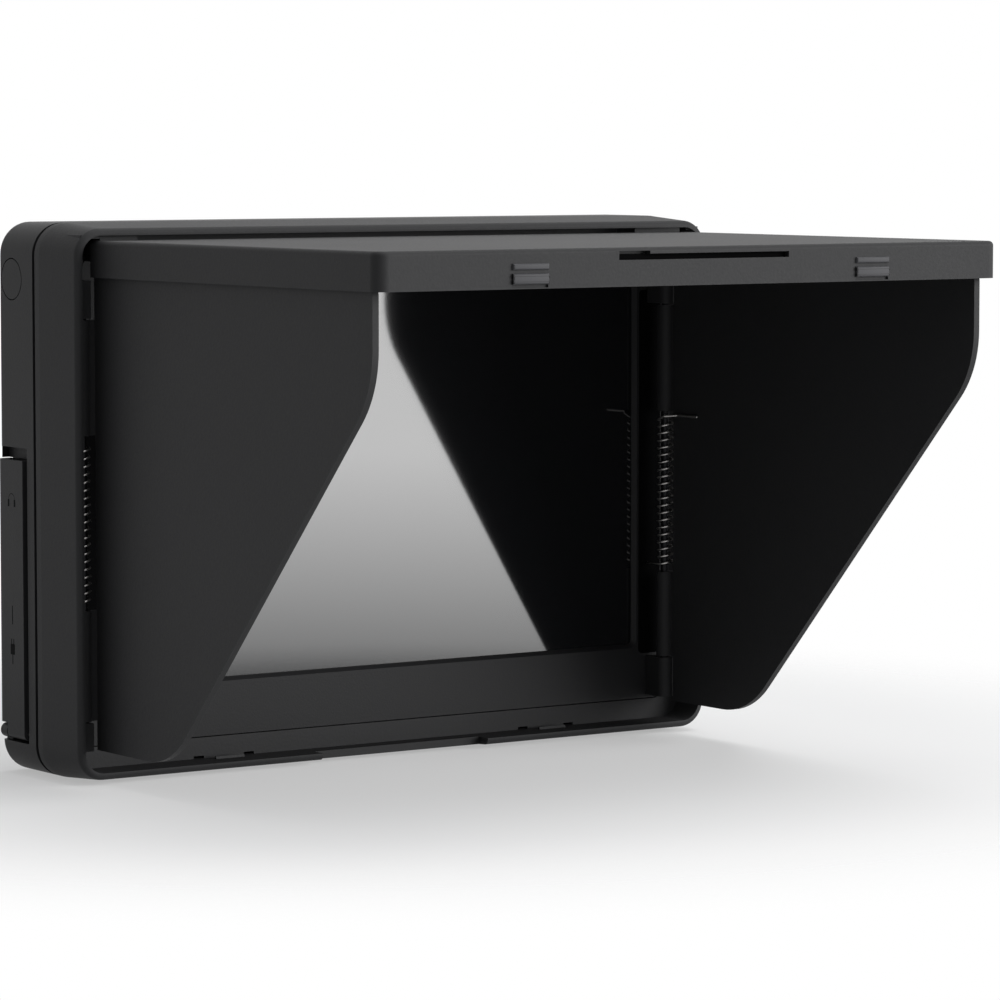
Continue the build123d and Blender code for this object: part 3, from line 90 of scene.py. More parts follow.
# Coils
TURN_STEPS, WIRE_SIDES, BALL_RINGS = 20, 10, 6
SPRING_LOW, SPRING_TURNS, SPRING_PITCH = 32.35, 20, 1.4
SPRINGS = (  # side, body that the arm pushes, axis, outer radius, wire radius, tail, arm
    ("left", "left_flap", (-66.15, -17.5), 1.2, 0.2,
     ((-67.15, -17.5, 32.35), (-67.6, -15.3, 32.35)),
     ((-67.15, -17.5, 60.35), (-67.15, -16.1, 61.35), (-67.15, -16.1, 63.35), (-63.6, -16.1, 63.35))),
    ("right", "right_flap", (61.8, -17.3), 1.6, 0.25,
     ((60.45, -17.3, 32.35), (60.45, -13.65, 32.35)),
     ((60.45, -17.3, 60.35), (60.45, -18.9, 60.95), (62.15, -20.9, 61.15), (62.15, -26.9, 61.15))),
)
CATCH_SPRING = (-3.7, 1.18, 23.95, 2.0, 0.2, 5)  # ends along Y, height, outer radius, wire radius, turns
THREAD = (0.45, 2.9, 0.7, 4, 1.27)  # section, radius, low end, turns, pitch

# Latch ribs
RIB_MIDDLES, RIB_LENGTH, RIB_HEIGHTS = (-35.2, 36.4), 7.2, ((90.52, 92.3), (92.85, 93.9))
RIB_BACK, RIB_FRONT, RIB_ROUND = -110.4, -111.108, 0.32

# Painted shade: a near-black strip at the bottom of the lid's finger slot, where the slot lies in shade
SLOT_ENDS, SLOT_HEIGHTS = (-17.28, 18.08), (94.17, 95.13)
SLOT_STEP = (-10.92, 95.63)  # where the raised end stops, and its top
SLOT_FLOOR, SLOT_THICK = -109.1, 0.5

# Painted shade: near-black strips on the bezel behind the springs, where there is only shade
PAD_FACE, PAD_THICK, PAD_ROUND = -13.4, 0.12, 0.8
PADS = ((-64.0, -59.6, 27.0, 66.0), (58.4, 63.4, 14.8, 85.0))  # left, right, low, high

# Marks on the door: their middle, the headset's band, and the blocks as middles and sizes along Y and Z
MARK_FACE, MARK_THICK, MARK_MIDDLE = -70.23, 0.05, 1.6
BAND_HEIGHT, BAND_R, BAND_SECTION = 49.5, 1.1, 0.14
MARK_BLOCKS = (
    (-1.1, 48.9, 0.6, 1.3), (1.1, 48.9, 0.6, 1.3),  # cups of the headset
    (0.0, 28.7, 0.3, 3.4),  # line
    (0.0, 22.5, 1.6, 1.9), (-0.4, 23.9, 0.3, 1.0), (0.4, 23.9, 0.3, 1.0), (0.0, 20.7, 0.3, 1.8),  # plug
)


# ---------------------------------------------------------------- settings

class HoodFinish(bpy.types.PropertyGroup):
    """The matte black of the sun hood."""

    colour: bpy.props.FloatVectorProperty(
        name="Colour", description="Base colour of the hood", subtype="COLOR", size=3, min=0, max=1,
        default=(0.028, 0.028, 0.029))
    roughness: bpy.props.FloatProperty(
        name="Roughness", description="Roughness of the moulded surface", subtype="FACTOR", min=0, max=1,
        default=0.57)
    grain_size: bpy.props.FloatProperty(
        name="Grain size", description="Width of one grain of the moulded texture", unit="LENGTH",
        default=0.00045)


class CaseFinish(bpy.types.PropertyGroup):
    """The black of the monitor's own shells."""

    colour: bpy.props.FloatVectorProperty(
        name="Colour", description="Base colour of the shells", subtype="COLOR", size=3, min=0, max=1,
        default=(0.023, 0.023, 0.024))
    roughness: bpy.props.FloatProperty(
        name="Roughness", description="Roughness of the moulded surface", subtype="FACTOR", min=0, max=1,
        default=0.45)
    grain_size: bpy.props.FloatProperty(
        name="Grain size", description="Width of one grain of the moulded texture", unit="LENGTH",
        default=0.00032)


class StageSettings(bpy.types.PropertyGroup):
    """Camera and floor."""

    camera_place: bpy.props.FloatVectorProperty(
        name="Camera place", description="Where the camera stands", subtype="TRANSLATION", size=3,
        default=(-0.45576, -0.71120, 0.11462))
    camera_yaw: bpy.props.FloatProperty(
        name="Camera yaw", description="Turn of the view about the upright", subtype="ANGLE",
        default=math.radians(34.616))
    camera_pitch: bpy.props.FloatProperty(
        name="Camera pitch", description="How far the view looks down", subtype="ANGLE",
        default=math.radians(4.625))
    lens: bpy.props.FloatProperty(
        name="Lens", description="Focal length on a 36 mm sensor", unit="CAMERA", default=162.15)
    floor_radius: bpy.props.FloatProperty(
        name="Floor radius", description="Radius of the round floor", unit="LENGTH", default=0.22)


# ---------------------------------------------------------------- nodes

def add(tree, kind, **settings):
    """A new node, with its properties and unlinked inputs set by name."""
    node = tree.nodes.new(kind)
    for key, value in settings.items():
        if hasattr(node, key):
            setattr(node, key, value)
        else:
            node.inputs[key.replace("_", " ")].default_value = value
    return node


def add_texture(tree, kind, **settings):
    """A new texture node on Object coordinates."""
    place = tree.nodes.get("Texture Coordinate") or tree.nodes.new("ShaderNodeTexCoord")
    texture = add(tree, kind, **settings)
    tree.links.new(place.outputs["Object"], texture.inputs["Vector"])
    return texture


def maths(tree, operation, a, b, clamp=False):
    """A Math node on two sockets or numbers. Returns its output."""
    node = add(tree, "ShaderNodeMath", operation=operation, use_clamp=clamp)
    for socket, value in zip(node.inputs, (a, b)):
        if isinstance(value, (int, float)):
            socket.default_value = value
        else:
            tree.links.new(value, socket)
    return node.outputs[0]


def raised(tree, base, value, gain):
    """A base plus a value times a gain."""
    return maths(tree, "ADD", base, maths(tree, "MULTIPLY", value, gain))


def difference(tree, value, other, gain, clamp=False):
    """A value less another, times a gain."""
    return maths(tree, "MULTIPLY", maths(tree, "SUBTRACT", value, other), gain, clamp)


# ---------------------------------------------------------------- shared textures

def node_group(name, inputs, outputs):
    """An empty shader group of number sockets: inputs by name with their defaults, and names of outputs."""
    group = bpy.data.node_groups.new(name, "ShaderNodeTree")
    for label, default in inputs.items():
        socket = group.interface.new_socket(label, in_out="INPUT", socket_type="NodeSocketFloat")
        socket.default_value = default
    for label in outputs:
        group.interface.new_socket(label, in_out="OUTPUT", socket_type="NodeSocketFloat")
    return group, group.nodes.new("NodeGroupInput"), group.nodes.new("NodeGroupOutput")


def build_moulded_grain():
    """Fine pebbled grain of a spark-eroded mould, with faint uneven gloss."""
    cell_scale, cell_height, speckle_gain, shade_gain = 0.8, 0.6, 0.16, 2.0
    group, inp, out = node_group(
        "moulded_grain", {"Grain Size": 0.0004, "Roughness": 0.5, "Unevenness": 0.06},
        ("Height", "Roughness", "Shade"))
    scale = maths(group, "DIVIDE", 1.0, inp.outputs["Grain Size"])
    pebble = add_texture(group, "ShaderNodeTexNoise", Detail=2.0, Roughness=0.55)
    group.links.new(scale, pebble.inputs["Scale"])
    cell = add_texture(group, "ShaderNodeTexVoronoi", feature="SMOOTH_F1")
    group.links.new(maths(group, "MULTIPLY", scale, cell_scale), cell.inputs["Scale"])
    cloud = add_texture(group, "ShaderNodeTexNoise", Scale=26.0, Detail=3.0)
    drift = difference(group, cloud.outputs["Fac"], 0.5, inp.outputs["Unevenness"])
    speckle = difference(group, pebble.outputs["Fac"], 0.5, speckle_gain)
    height = raised(group, pebble.outputs["Fac"], cell.outputs["Distance"], cell_height)
    rough = maths(group, "ADD", maths(group, "ADD", inp.outputs["Roughness"], drift), speckle)
    group.links.new(height, out.inputs["Height"])
    group.links.new(rough, out.inputs["Roughness"])
    group.links.new(raised(group, 1.0, drift, shade_gain), out.inputs["Shade"])


def build_edge_wear():
    """How far a point is on a sharp outer edge, broken up by noise: 0 on faces, 1 on a worn edge."""
    sharp_limit, sharp_gain, patch_limit, patch_gain = 0.985, 6.0, 0.38, 2.2
    group, inp, out = node_group("edge_wear", {"Radius": 0.0006, "Amount": 0.5}, ("Mask",))
    solid = group.nodes.new("ShaderNodeNewGeometry")
    round_edge = add(group, "ShaderNodeBevel", samples=4)
    group.links.new(inp.outputs["Radius"], round_edge.inputs["Radius"])
    turn = add(group, "ShaderNodeVectorMath", operation="DOT_PRODUCT")
    group.links.new(round_edge.outputs["Normal"], turn.inputs[0])
    group.links.new(solid.outputs["True Normal"], turn.inputs[1])
    sharp = difference(group, sharp_limit, turn.outputs["Value"], sharp_gain, clamp=True)
    patches = add_texture(group, "ShaderNodeTexNoise", Scale=420.0, Detail=4.0)
    patchy = difference(group, patches.outputs["Fac"], patch_limit, patch_gain, clamp=True)
    worn = maths(group, "MULTIPLY", sharp, patchy)
    group.links.new(maths(group, "MULTIPLY", worn, inp.outputs["Amount"], clamp=True), out.inputs["Mask"])


def build_drawn_lines():
    """Fine drawn lines along Z for wires, shafts and turned metal."""
    across, along, gain = 9000, 400, 0.3
    group, inp, out = node_group("drawn_lines", {"Roughness": 0.3}, ("Height", "Roughness"))
    squeeze = add_texture(group, "ShaderNodeMapping", Scale=(across, across, along))
    lines = add(group, "ShaderNodeTexNoise", Scale=1.0, Detail=2.0)
    group.links.new(squeeze.outputs["Vector"], lines.inputs["Vector"])
    spread = difference(group, lines.outputs["Fac"], 0.5, gain)
    group.links.new(lines.outputs["Fac"], out.inputs["Height"])
    group.links.new(maths(group, "ADD", inp.outputs["Roughness"], spread), out.inputs["Roughness"])


# ---------------------------------------------------------------- materials

def new_material(name, **sockets):
    """A material whose Principled shader has some sockets set. Returns it with its tree and shader."""
    material = bpy.data.materials.new(name)
    material.use_nodes = True
    tree = material.node_tree
    shader = tree.nodes["Principled BSDF"]
    for key, value in sockets.items():
        socket = shader.inputs[key.replace("_", " ")]
        socket.default_value = (*value, 1) if socket.type == "RGBA" else value
    return material, tree, shader


def place_group(tree, name, **values):
    """One of the shared groups inside a material, with its own values."""
    node = tree.nodes.new("ShaderNodeGroup")
    node.node_tree = bpy.data.node_groups[name]
    for key, value in values.items():
        node.inputs[key.replace("_", " ")].default_value = value
    return node


def link_height(tree, shader, height, depth, strength=1.0):
    """A Bump node from a height output to the shader's normal."""
    bump = add(tree, "ShaderNodeBump", Strength=strength, Distance=depth)
    tree.links.new(height, bump.inputs["Height"])
    tree.links.new(bump.outputs["Normal"], shader.inputs["Normal"])


def shaded_colour(tree, colour, shade):
    """A colour multiplied by a shade value."""
    tint = add(tree, "ShaderNodeVectorMath", operation="SCALE")
    tint.inputs[0].default_value = colour
    tree.links.new(shade, tint.inputs["Scale"])
    return tint.outputs[0]


def moulded_plastic(name, colour, roughness, grain, depth, wear=0.35, specular=0.5):
    """Black moulded plastic: pebbled grain, uneven gloss and slightly polished edges."""
    worn_gain, worn_lift, polish = 1.9, 0.008, 0.12
    material, tree, shader = new_material(name, Specular_IOR_Level=specular)
    texture = place_group(tree, "moulded_grain", Grain_Size=grain, Roughness=roughness)
    worn = place_group(tree, "edge_wear", Amount=wear)
    lighter = [min(1, part * worn_gain + worn_lift) for part in colour]
    mix = add(tree, "ShaderNodeMix", data_type="RGBA")
    tree.links.new(worn.outputs["Mask"], mix.inputs["Factor"])
    tree.links.new(shaded_colour(tree, colour, texture.outputs["Shade"]), mix.inputs["A"])
    mix.inputs["B"].default_value = (*lighter, 1)
    tree.links.new(mix.outputs["Result"], shader.inputs["Base Color"])
    smoother = maths(tree, "SUBTRACT", texture.outputs["Roughness"],
                     maths(tree, "MULTIPLY", worn.outputs["Mask"], polish), clamp=True)
    tree.links.new(smoother, shader.inputs["Roughness"])
    link_height(tree, shader, texture.outputs["Height"], depth)
    return material


def drawn_metal(name, colour, roughness):
    """Steel or brass with fine drawn lines."""
    material, tree, shader = new_material(name, Metallic=1.0)
    lines = place_group(tree, "drawn_lines", Roughness=roughness)
    cloud = add_texture(tree, "ShaderNodeTexNoise", Scale=300.0, Detail=2.0)
    shade = raised(tree, 0.9, cloud.outputs["Fac"], 0.2)
    tree.links.new(shaded_colour(tree, colour, shade), shader.inputs["Base Color"])
    tree.links.new(lines.outputs["Roughness"], shader.inputs["Roughness"])
    link_height(tree, shader, lines.outputs["Height"], depth=0.00001, strength=0.4)
    return material


def screen_cover():
    """The screen's glass, dark behind and polished in front."""
    material, tree, shader = new_material(
        "screen_glass", Base_Color=(0.006, 0.0065, 0.0075), IOR=1.52, Specular_IOR_Level=0.72)
    smear = add_texture(tree, "ShaderNodeTexNoise", Scale=40.0, Detail=3.0)
    tree.links.new(raised(tree, 0.035, smear.outputs["Fac"], 0.02), shader.inputs["Roughness"])
    return material


def solder_mask():
    """Green circuit board with darker tracks."""
    gloss = 0.35
    material, tree, shader = new_material("circuit_board", Specular_IOR_Level=0.5)
    tracks = add_texture(tree, "ShaderNodeTexVoronoi", feature="F1", distance="MANHATTAN", Scale=420.0)
    shade = raised(tree, 0.7, tracks.outputs["Distance"], 0.8)
    tree.links.new(shaded_colour(tree, (0.010, 0.085, 0.045), shade), shader.inputs["Base Color"])
    tree.links.new(maths(tree, "MULTIPLY", shade, gloss), shader.inputs["Roughness"])
    return material


def plain_film(name, colour, roughness, specular=0.5):
    """Thin plastic film with a slight cloudiness."""
    material, tree, shader = new_material(name, Specular_IOR_Level=specular)
    cloud = add_texture(tree, "ShaderNodeTexNoise", Scale=120.0, Detail=2.0)
    shade = raised(tree, 0.92, cloud.outputs["Fac"], 0.16)
    tree.links.new(shaded_colour(tree, colour, shade), shader.inputs["Base Color"])
    tree.links.new(maths(tree, "MULTIPLY", shade, roughness), shader.inputs["Roughness"])
    return material


def painted_shade_black():
    """Painted shade: a matte near-black sheet, with fibres too fine to see singly."""
    material, tree, shader = new_material("painted_shade_black", Roughness=1.0, Specular_IOR_Level=0.04)
    fibre = add_texture(tree, "ShaderNodeTexNoise", Scale=5200.0, Detail=4.0)
    shade = raised(tree, 0.6, fibre.outputs["Fac"], 0.8)
    tree.links.new(shaded_colour(tree, (0.0025, 0.0025, 0.0027), shade), shader.inputs["Base Color"])
    link_height(tree, shader, fibre.outputs["Fac"], depth=0.00003)
    return material


def dress(nodes, material):
    """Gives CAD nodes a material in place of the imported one."""
    for name in nodes:
        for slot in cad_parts[name].material_slots:
            slot.material = material


# ---------------------------------------------------------------- pieces

def new_piece(name):
    """A new mesh object at the origin, in edit mode, with nothing else selected."""
    bpy.ops.object.select_all(action="DESELECT")
    bpy.ops.object.add(type="MESH", enter_editmode=True, location=(0, 0, 0))
    piece = bpy.context.object
    piece.name = piece.data.name = name
    return piece


def wind(piece, sides, section, radius, low, turns, pitch):
    """Winds a small ring into a coil about Z. It starts and ends on the -X side, and stays selected."""
    bpy.ops.mesh.primitive_circle_add(
        vertices=sides, radius=section * MM, location=(-radius * MM, 0, low * MM),
        rotation=(math.radians(90), 0, 0))
    bpy.ops.object.mode_set(mode="OBJECT")
    bpy.ops.object.modifier_add(type="SCREW")
    winding = piece.modifiers[-1]
    winding.steps = winding.render_steps = TURN_STEPS
    winding.iterations = turns
    winding.screw_offset = pitch * MM
    bpy.ops.object.modifier_apply(modifier=winding.name)
    bpy.ops.object.mode_set(mode="EDIT")
    bpy.ops.mesh.select_all(action="SELECT")
    bpy.ops.mesh.fill_holes(sides=sides)


def add_wire(points, radius):
    """Straight runs of wire through a few points, with a ball at the end of each run."""
    points = [Vector(point) * MM for point in points]
    for start, end in zip(points, points[1:]):
        run = end - start
        bpy.ops.mesh.primitive_cylinder_add(
            vertices=WIRE_SIDES, radius=radius * MM, depth=run.length, location=(start + end) / 2,
            rotation=run.to_track_quat("Z", "Y").to_euler())
        bpy.ops.mesh.primitive_uv_sphere_add(
            segments=WIRE_SIDES, ring_count=BALL_RINGS, radius=radius * MM, location=end)


def around(middle, size):
    """The two ends of a span, from its middle and size."""
    return middle - size / 2, middle + size / 2


def add_block(*spans):
    """A box in the mesh being edited, from its ends along X, Y and Z. Nothing else stays selected."""
    bpy.ops.mesh.select_all(action="DESELECT")
    bpy.ops.mesh.primitive_cube_add(size=1, location=(0, 0, 0))
    bpy.ops.transform.resize(value=[(high - low) * MM for low, high in spans])
    bpy.ops.transform.translate(value=[(low + high) / 2 * MM for low, high in spans])


def select_edges(piece, test):
    """Of the selected edges, keeps those whose two ends, in millimetres, pass a test."""
    mesh = bmesh.from_edit_mesh(piece.data)
    for edge in mesh.edges:
        ends = [vertex.co / MM for vertex in edge.verts]
        edge.select_set(edge.select and test(*ends))
    bmesh.update_edit_mesh(piece.data)


def finish_piece(piece, body, material, angle=40):
    """Turns the normals out, smooths the shading and puts the piece on its body; given a tuple in place of a
    body's name, it only bakes the piece's place into its mesh.
    """
    bpy.ops.mesh.select_all(action="SELECT")
    bpy.ops.mesh.normals_make_consistent(inside=False)
    bpy.ops.object.mode_set(mode="OBJECT")
    bpy.ops.object.shade_smooth_by_angle(angle=math.radians(angle))
    piece.data.materials.append(bpy.data.materials[material])
    if isinstance(body, str):
        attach(piece, body)
    else:
        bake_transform(piece)


def build_spring(side, flap, axis, outer, wire, tail, arm):
    """A torsion spring of round wire in place of a CAD one. Its arm goes with the wing that it pushes."""
    piece = new_piece(f"{side}_wound_spring")
    wind(piece, WIRE_SIDES, wire, outer - wire, SPRING_LOW, SPRING_TURNS, SPRING_PITCH)
    bpy.ops.transform.translate(value=(axis[0] * MM, axis[1] * MM, 0))
    add_wire(tail, wire)
    finish_piece(piece, "monitor", "spring_steel")
    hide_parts(f"{side}_spring")
    piece = new_piece(f"{side}_spring_arm")
    add_wire(arm, wire)
    finish_piece(piece, flap, "spring_steel")


def build_catch_spring():
    """The spring behind the battery catch, in place of the CAD one."""
    low, high, height, outer, wire, turns = CATCH_SPRING
    length = high - low - 2 * wire
    piece = new_piece("catch_wound_spring")
    wind(piece, WIRE_SIDES, wire, outer - wire, -length / 2, turns, length / turns)
    bpy.ops.transform.rotate(value=math.radians(90), orient_axis="X", center_override=(0, 0, 0))
    bpy.ops.transform.translate(value=(0, (low + high) / 2 * MM, height * MM))
    ends = [Vector((0, end, height)) * MM for end in (low + wire, high - wire)]
    finish_piece(piece, ("monitor", "release_key", *ends), "spring_steel")
    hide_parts("release_spring")


def build_thread():
    """The camera thread inside the brass bush."""
    piece = new_piece("bush_thread")
    wind(piece, 3, *THREAD)
    finish_piece(piece, "monitor", "turned_brass", angle=20)


def build_latch_ribs():
    """The two thumb ribs on each of the lid's latches, rounded in front."""
    piece = new_piece("latch_ribs")
    for middle in RIB_MIDDLES:
        for heights in RIB_HEIGHTS:
            add_block(around(middle, RIB_LENGTH), (RIB_FRONT, RIB_BACK), heights)
            select_edges(piece, lambda a, b: max(a.y, b.y) < RIB_BACK - SAME)
            bpy.ops.mesh.bevel(offset=RIB_ROUND * MM, segments=4, affect="EDGES")
    # This material is the frame's own plain one. The grained one has the same name with a number after it.
    finish_piece(piece, "lid", "hood_plastic")


def build_slot_shade_strip():
    """A near-black strip at the bottom of the lid's finger slot, with its raised left end: painted shade
    where the slot lies in shade.
    """
    (left, right), (low, high), (step, top) = SLOT_ENDS, SLOT_HEIGHTS, SLOT_STEP
    piece = new_piece("slot_strip")
    bpy.ops.mesh.primitive_plane_add(size=1, location=(0, 0, 0), rotation=(math.radians(90), 0, 0))
    bpy.ops.transform.resize(value=((right - left) * MM, 1, (high - low) * MM))
    bpy.ops.transform.translate(value=((left + right) / 2 * MM, SLOT_FLOOR * MM, (low + high) / 2 * MM))
    bpy.ops.mesh.bisect(plane_co=(step * MM, SLOT_FLOOR * MM, low * MM), plane_no=(1, 0, 0))
    bpy.ops.mesh.select_all(action="SELECT")
    select_edges(piece, lambda a, b: min(a.z, b.z) > high - SAME and max(a.x, b.x) < step + SAME)
    bpy.ops.mesh.extrude_region_move(TRANSFORM_OT_translate={"value": (0, 0, (top - high) * MM)})
    bpy.ops.mesh.select_all(action="SELECT")
    bpy.ops.mesh.extrude_region_move(TRANSFORM_OT_translate={"value": (0, -SLOT_THICK * MM, 0)})
    finish_piece(piece, "lid", "painted_shade_black")


def build_spring_shade_pads():
    """Near-black strips on the bezel behind the springs, with rounded corners: painted shade where the
    springs sit in shade.
    """
    piece = new_piece("spring_pads")
    for left, right, low, high in PADS:
        add_block((left, right), (PAD_FACE - PAD_THICK, PAD_FACE), (low, high))
        select_edges(piece, lambda a, b: abs(a.y - b.y) > SAME)
        bpy.ops.mesh.bevel(offset=PAD_ROUND * MM, segments=5, affect="EDGES")
    finish_piece(piece, "monitor", "painted_shade_black")


def build_door_marks():
    """Plain marks on the door beside its sockets: a headset, a line and a plug."""
    crown = [size * MM for size in (MARK_FACE, MARK_MIDDLE, BAND_HEIGHT)]
    piece = new_piece("door_marks")
    bpy.ops.mesh.primitive_torus_add(
        major_radius=BAND_R * MM, minor_radius=BAND_SECTION * MM, major_segments=32, minor_segments=8,
        location=crown, rotation=(0, math.radians(90), 0))
    bpy.ops.mesh.bisect(plane_co=crown, plane_no=(0, 0, 1), clear_inner=True)
    bpy.ops.mesh.select_all(action="SELECT")
    bpy.ops.transform.resize(value=(MARK_THICK / (2 * BAND_SECTION), 1, 1), center_override=crown)
    for side, height, width, length in MARK_BLOCKS:
        add_block(around(MARK_FACE, MARK_THICK), around(MARK_MIDDLE + side, width), around(height, length))
    finish_piece(piece, "door", "mark_ink")


# ---------------------------------------------------------------- stage

def set_camera(context, look):
    """A camera at the given place, turned to yaw and pitch."""
    data = bpy.data.cameras.new("camera")
    data.lens = look.lens
    data.sensor_width = SENSOR_WIDTH
    data.clip_start = NEAR_CLIP
    camera = bpy.data.objects.new("camera", data)
    context.scene.collection.objects.link(camera)
    camera.rotation_euler = (math.pi / 2 - look.camera_pitch, 0, -look.camera_yaw)
    camera.location = look.camera_place
    context.scene.camera = camera


def seen_rays(tree):
    """1 on rays that show a surface to the camera, straight or through gloss or glass, and 0 on others."""
    path = tree.nodes.new("ShaderNodeLightPath")
    seen = maths(tree, "ADD", path.outputs["Is Camera Ray"], path.outputs["Is Glossy Ray"], clamp=True)
    return maths(tree, "ADD", seen, path.outputs["Is Transmission Ray"], clamp=True)


def mix_shaders(tree, share, first, second):
    """A Mix Shader of two shaders. Returns its output."""
    mix = tree.nodes.new("ShaderNodeMixShader")
    for socket, source in zip(mix.inputs, (share, first, second)):
        tree.links.new(source, socket)
    return mix.outputs[0]


def lay_floor(look):
    """A round pale floor that keeps the object's shadow and thins out to the white round it."""
    bpy.ops.object.select_all(action="DESELECT")
    bpy.ops.mesh.primitive_circle_add(
        vertices=FLOOR_SIDES, radius=look.floor_radius, fill_type="NGON", location=(0, 0, -FLOOR_DROP))
    floor = bpy.context.object
    floor.name = "floor"
    bpy.ops.object.transform_apply(location=True)
    material, tree, shader = new_material(
        "floor_paint", Base_Color=(0.9, 0.9, 0.9), Roughness=0.7, Specular_IOR_Level=0.0)
    reach = tree.nodes.new("ShaderNodeVectorMath")
    reach.operation = "LENGTH"
    tree.links.new(tree.nodes.new("ShaderNodeTexCoord").outputs["Object"], reach.inputs[0])
    far = add(tree, "ShaderNodeMapRange", interpolation_type="SMOOTHSTEP",
              From_Min=FLOOR_FADE_START, From_Max=FLOOR_FADE_END)
    tree.links.new(reach.outputs["Value"], far.inputs["Value"])
    white = add(tree, "ShaderNodeEmission", Color=(1, 1, 1, 1), Strength=1.0)
    glow = maths(tree, "MULTIPLY", seen_rays(tree), FLOOR_GLOW)
    lit = mix_shaders(tree, glow, shader.outputs[0], white.outputs[0])
    clear = tree.nodes.new("ShaderNodeBsdfTransparent")
    faded = mix_shaders(tree, far.outputs["Result"], lit, clear.outputs[0])
    tree.links.new(faded, tree.nodes["Material Output"].inputs["Surface"])
    floor.data.materials.append(material)


def hang_lamps(context):
    """Soft area lamps: a low bright one in front on the right, a wide one overhead and a faint one behind."""
    for name, place, aim, size, power in LAMPS:
        data = bpy.data.lights.new(name, "AREA")
        data.shape = "RECTANGLE"
        data.size, data.size_y = size
        data.energy = power
        lamp = bpy.data.objects.new(name, data)
        context.scene.collection.objects.link(lamp)
        lamp.location = place
        lamp.rotation_euler = (Vector(aim) - Vector(place)).to_track_quat("-Z", "Y").to_euler()
    fade_foot(bpy.data.lights["front_right"])


def fade_foot(data):
    """Dims a lamp's lower edge, as the foot of a soft box falls off."""
    data.use_nodes = True
    tree = data.node_tree
    split = tree.nodes.new("ShaderNodeSeparateXYZ")
    tree.links.new(tree.nodes.new("ShaderNodeNewGeometry").outputs["Parametric"], split.inputs[0])
    fade = add(tree, "ShaderNodeMapRange",
               From_Min=FOOT_LOW, From_Max=FOOT_HIGH, To_Min=FOOT_GLOW, To_Max=1.0)
    tree.links.new(split.outputs["Y"], fade.inputs["Value"])
    tree.links.new(fade.outputs["Result"], tree.nodes["Emission"].inputs["Strength"])


def light_world(context):
    """A plain world that is white to the camera and in reflections."""
    world = bpy.data.worlds.new("room")
    context.scene.world = world
    world.use_nodes = True
    tree = world.node_tree
    sky = tree.nodes["Background"]
    sky.inputs["Color"].default_value = SKY_COLOUR
    sky.inputs["Strength"].default_value = SKY_STRENGTH
    white = add(tree, "ShaderNodeBackground", Color=(1, 1, 1, 1), Strength=1.0)
    seen = mix_shaders(tree, seen_rays(tree), sky.outputs[0], white.outputs[0])
    tree.links.new(seen, tree.nodes["World Output"].inputs["Surface"])


# ---------------------------------------------------------------- operators

class MONITOR_OT_textures(bpy.types.Operator):
    """Build the shared node groups"""

    bl_idname = "monitor.textures"
    bl_label = "Shared Textures"

    def execute(self, context):
        build_moulded_grain()
        build_edge_wear()
        build_drawn_lines()
        return {"FINISHED"}


class MONITOR_OT_stage(bpy.types.Operator):
    """Set up the camera, lamps, floor and background"""

    bl_idname = "monitor.stage"
    bl_label = "Stage"

    def execute(self, context):
        look = context.scene.monitor_stage
        set_camera(context, look)
        lay_floor(look)
        hang_lamps(context)
        light_world(context)
        context.scene.view_settings.view_transform = "Standard"
        return {"FINISHED"}


class MONITOR_OT_hood(bpy.types.Operator):
    """Finish the sun hood"""

    bl_idname = "monitor.hood"
    bl_label = "Sun Hood"

    def execute(self, context):
        look = context.scene.monitor_hood
        dress(HOOD_NODES, moulded_plastic(
            "hood_plastic", look.colour, look.roughness, look.grain_size, depth=0.00002, specular=0.14))
        return {"FINISHED"}


class MONITOR_OT_case(bpy.types.Operator):
    """Finish the monitor's shells and controls"""

    bl_idname = "monitor.case"
    bl_label = "Case and Controls"

    def execute(self, context):
        look = context.scene.monitor_case
        dress(CASE_NODES, moulded_plastic(
            "case_plastic", look.colour, look.roughness, look.grain_size, depth=0.000015, specular=0.10))
        dress(CONTROL_NODES, moulded_plastic(
            "key_plastic", (0.035, 0.035, 0.036), roughness=0.38, grain=0.0002, depth=0.000006, wear=0.6,
            specular=0.25))
        return {"FINISHED"}


class MONITOR_OT_screen(bpy.types.Operator):
    """Finish the screen and the layers behind it"""

    bl_idname = "monitor.screen"
    bl_label = "Screen"

    def execute(self, context):
        dress(("screen_glass",), screen_cover())
        dress(("lcd_panel",), plain_film("display_glass", (0.012, 0.012, 0.014), roughness=0.2))
        dress(("backlight",), plain_film("light_film", (0.78, 0.79, 0.78), roughness=0.4))
        return {"FINISHED"}


class MONITOR_OT_works(bpy.types.Operator):
    """Finish the metal, boards and small inner parts"""

    bl_idname = "monitor.works"
    bl_label = "Inner Works"

    def execute(self, context):
        dress(STEEL_NODES, drawn_metal("spring_steel", (0.36, 0.35, 0.34), roughness=0.32))
        dress(BLACK_STEEL_NODES, drawn_metal("black_steel", (0.09, 0.09, 0.092), roughness=0.35))
        dress(SHAFT_NODES, drawn_metal("oiled_rod", (0.016, 0.016, 0.017), roughness=0.45))
        dress(BRASS_NODES, drawn_metal("turned_brass", (0.66, 0.50, 0.25), roughness=0.26))
        dress(BOARD_NODES, solder_mask())
        dress(CHIP_NODES, moulded_plastic(
            "chip_plastic", (0.02, 0.02, 0.021), roughness=0.6, grain=0.0002, depth=0.000004, wear=0.0))
        dress(("speaker",), plain_film("speaker_cone", (0.012, 0.012, 0.013), roughness=0.7, specular=0.15))
        dress(("panel_ribbon",), plain_film("amber_film", (0.42, 0.20, 0.045), roughness=0.35))
        return {"FINISHED"}


class MONITOR_OT_springs(bpy.types.Operator):
    """Wind the springs and cut the bush's thread"""

    bl_idname = "monitor.springs"
    bl_label = "Springs and Thread"

    def execute(self, context):
        for spring in SPRINGS:
            build_spring(*spring)
        build_catch_spring()
        build_thread()
        return {"FINISHED"}


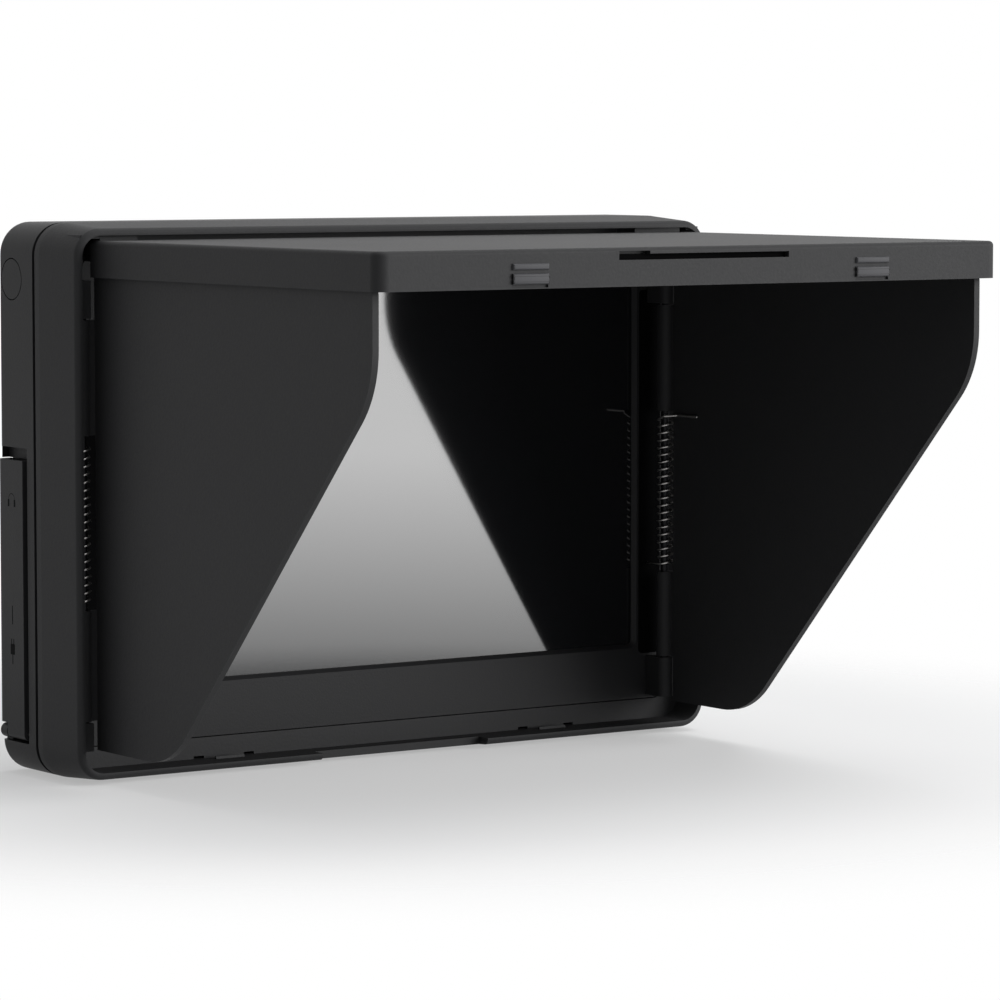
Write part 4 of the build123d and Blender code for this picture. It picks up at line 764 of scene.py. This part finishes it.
class MONITOR_OT_trim(bpy.types.Operator):
    """Add the latches' ribs, and the near-black strips of painted shade in the slot and behind the springs"""

    bl_idname = "monitor.trim"
    bl_label = "Hood Trim"

    def execute(self, context):
        painted_shade_black()
        build_latch_ribs()
        build_slot_shade_strip()
        build_spring_shade_pads()
        return {"FINISHED"}


class MONITOR_OT_marks(bpy.types.Operator):
    """Print the plain marks on the door"""

    bl_idname = "monitor.marks"
    bl_label = "Marks"

    def execute(self, context):
        plain_film("mark_ink", (0.006, 0.006, 0.006), roughness=0.7, specular=0.03)
        build_door_marks()
        return {"FINISHED"}


class MONITOR_PT_panel(bpy.types.Panel):
    """Lists the monitor's operators and settings in the sidebar"""

    bl_idname = "MONITOR_PT_panel"
    bl_label = "Sun-hood Monitor"
    bl_space_type = "VIEW_3D"
    bl_region_type = "UI"
    bl_category = "Monitor"

    def draw(self, context):
        for operator in OPERATORS:
            self.layout.operator(operator.bl_idname)
        for group in SETTINGS:
            settings = getattr(context.scene, group)
            for name in settings.bl_rna.properties.keys():
                if name not in ("rna_type", "name"):
                    self.layout.prop(settings, name)


# ---------------------------------------------------------------- registration

SETTINGS = {"monitor_hood": HoodFinish, "monitor_case": CaseFinish, "monitor_stage": StageSettings}
OPERATORS = (
    MONITOR_OT_textures, MONITOR_OT_stage, MONITOR_OT_hood, MONITOR_OT_case, MONITOR_OT_screen,
    MONITOR_OT_works, MONITOR_OT_springs, MONITOR_OT_trim, MONITOR_OT_marks,
)


def register():
    for cls in (*SETTINGS.values(), *OPERATORS, MONITOR_PT_panel):
        bpy.utils.register_class(cls)
    for name, group in SETTINGS.items():
        setattr(bpy.types.Scene, name, bpy.props.PointerProperty(type=group))


def unregister():
    for name in SETTINGS:
        delattr(bpy.types.Scene, name)
    for cls in reversed((*SETTINGS.values(), *OPERATORS, MONITOR_PT_panel)):
        bpy.utils.unregister_class(cls)


def main():
    """Register the add-on and run each operator in turn."""
    register()
    for step in ("textures", "stage", "hood", "case", "screen", "works", "springs", "trim", "marks"):
        getattr(bpy.ops.monitor, step)()


if __name__ == "__main__":
    main()
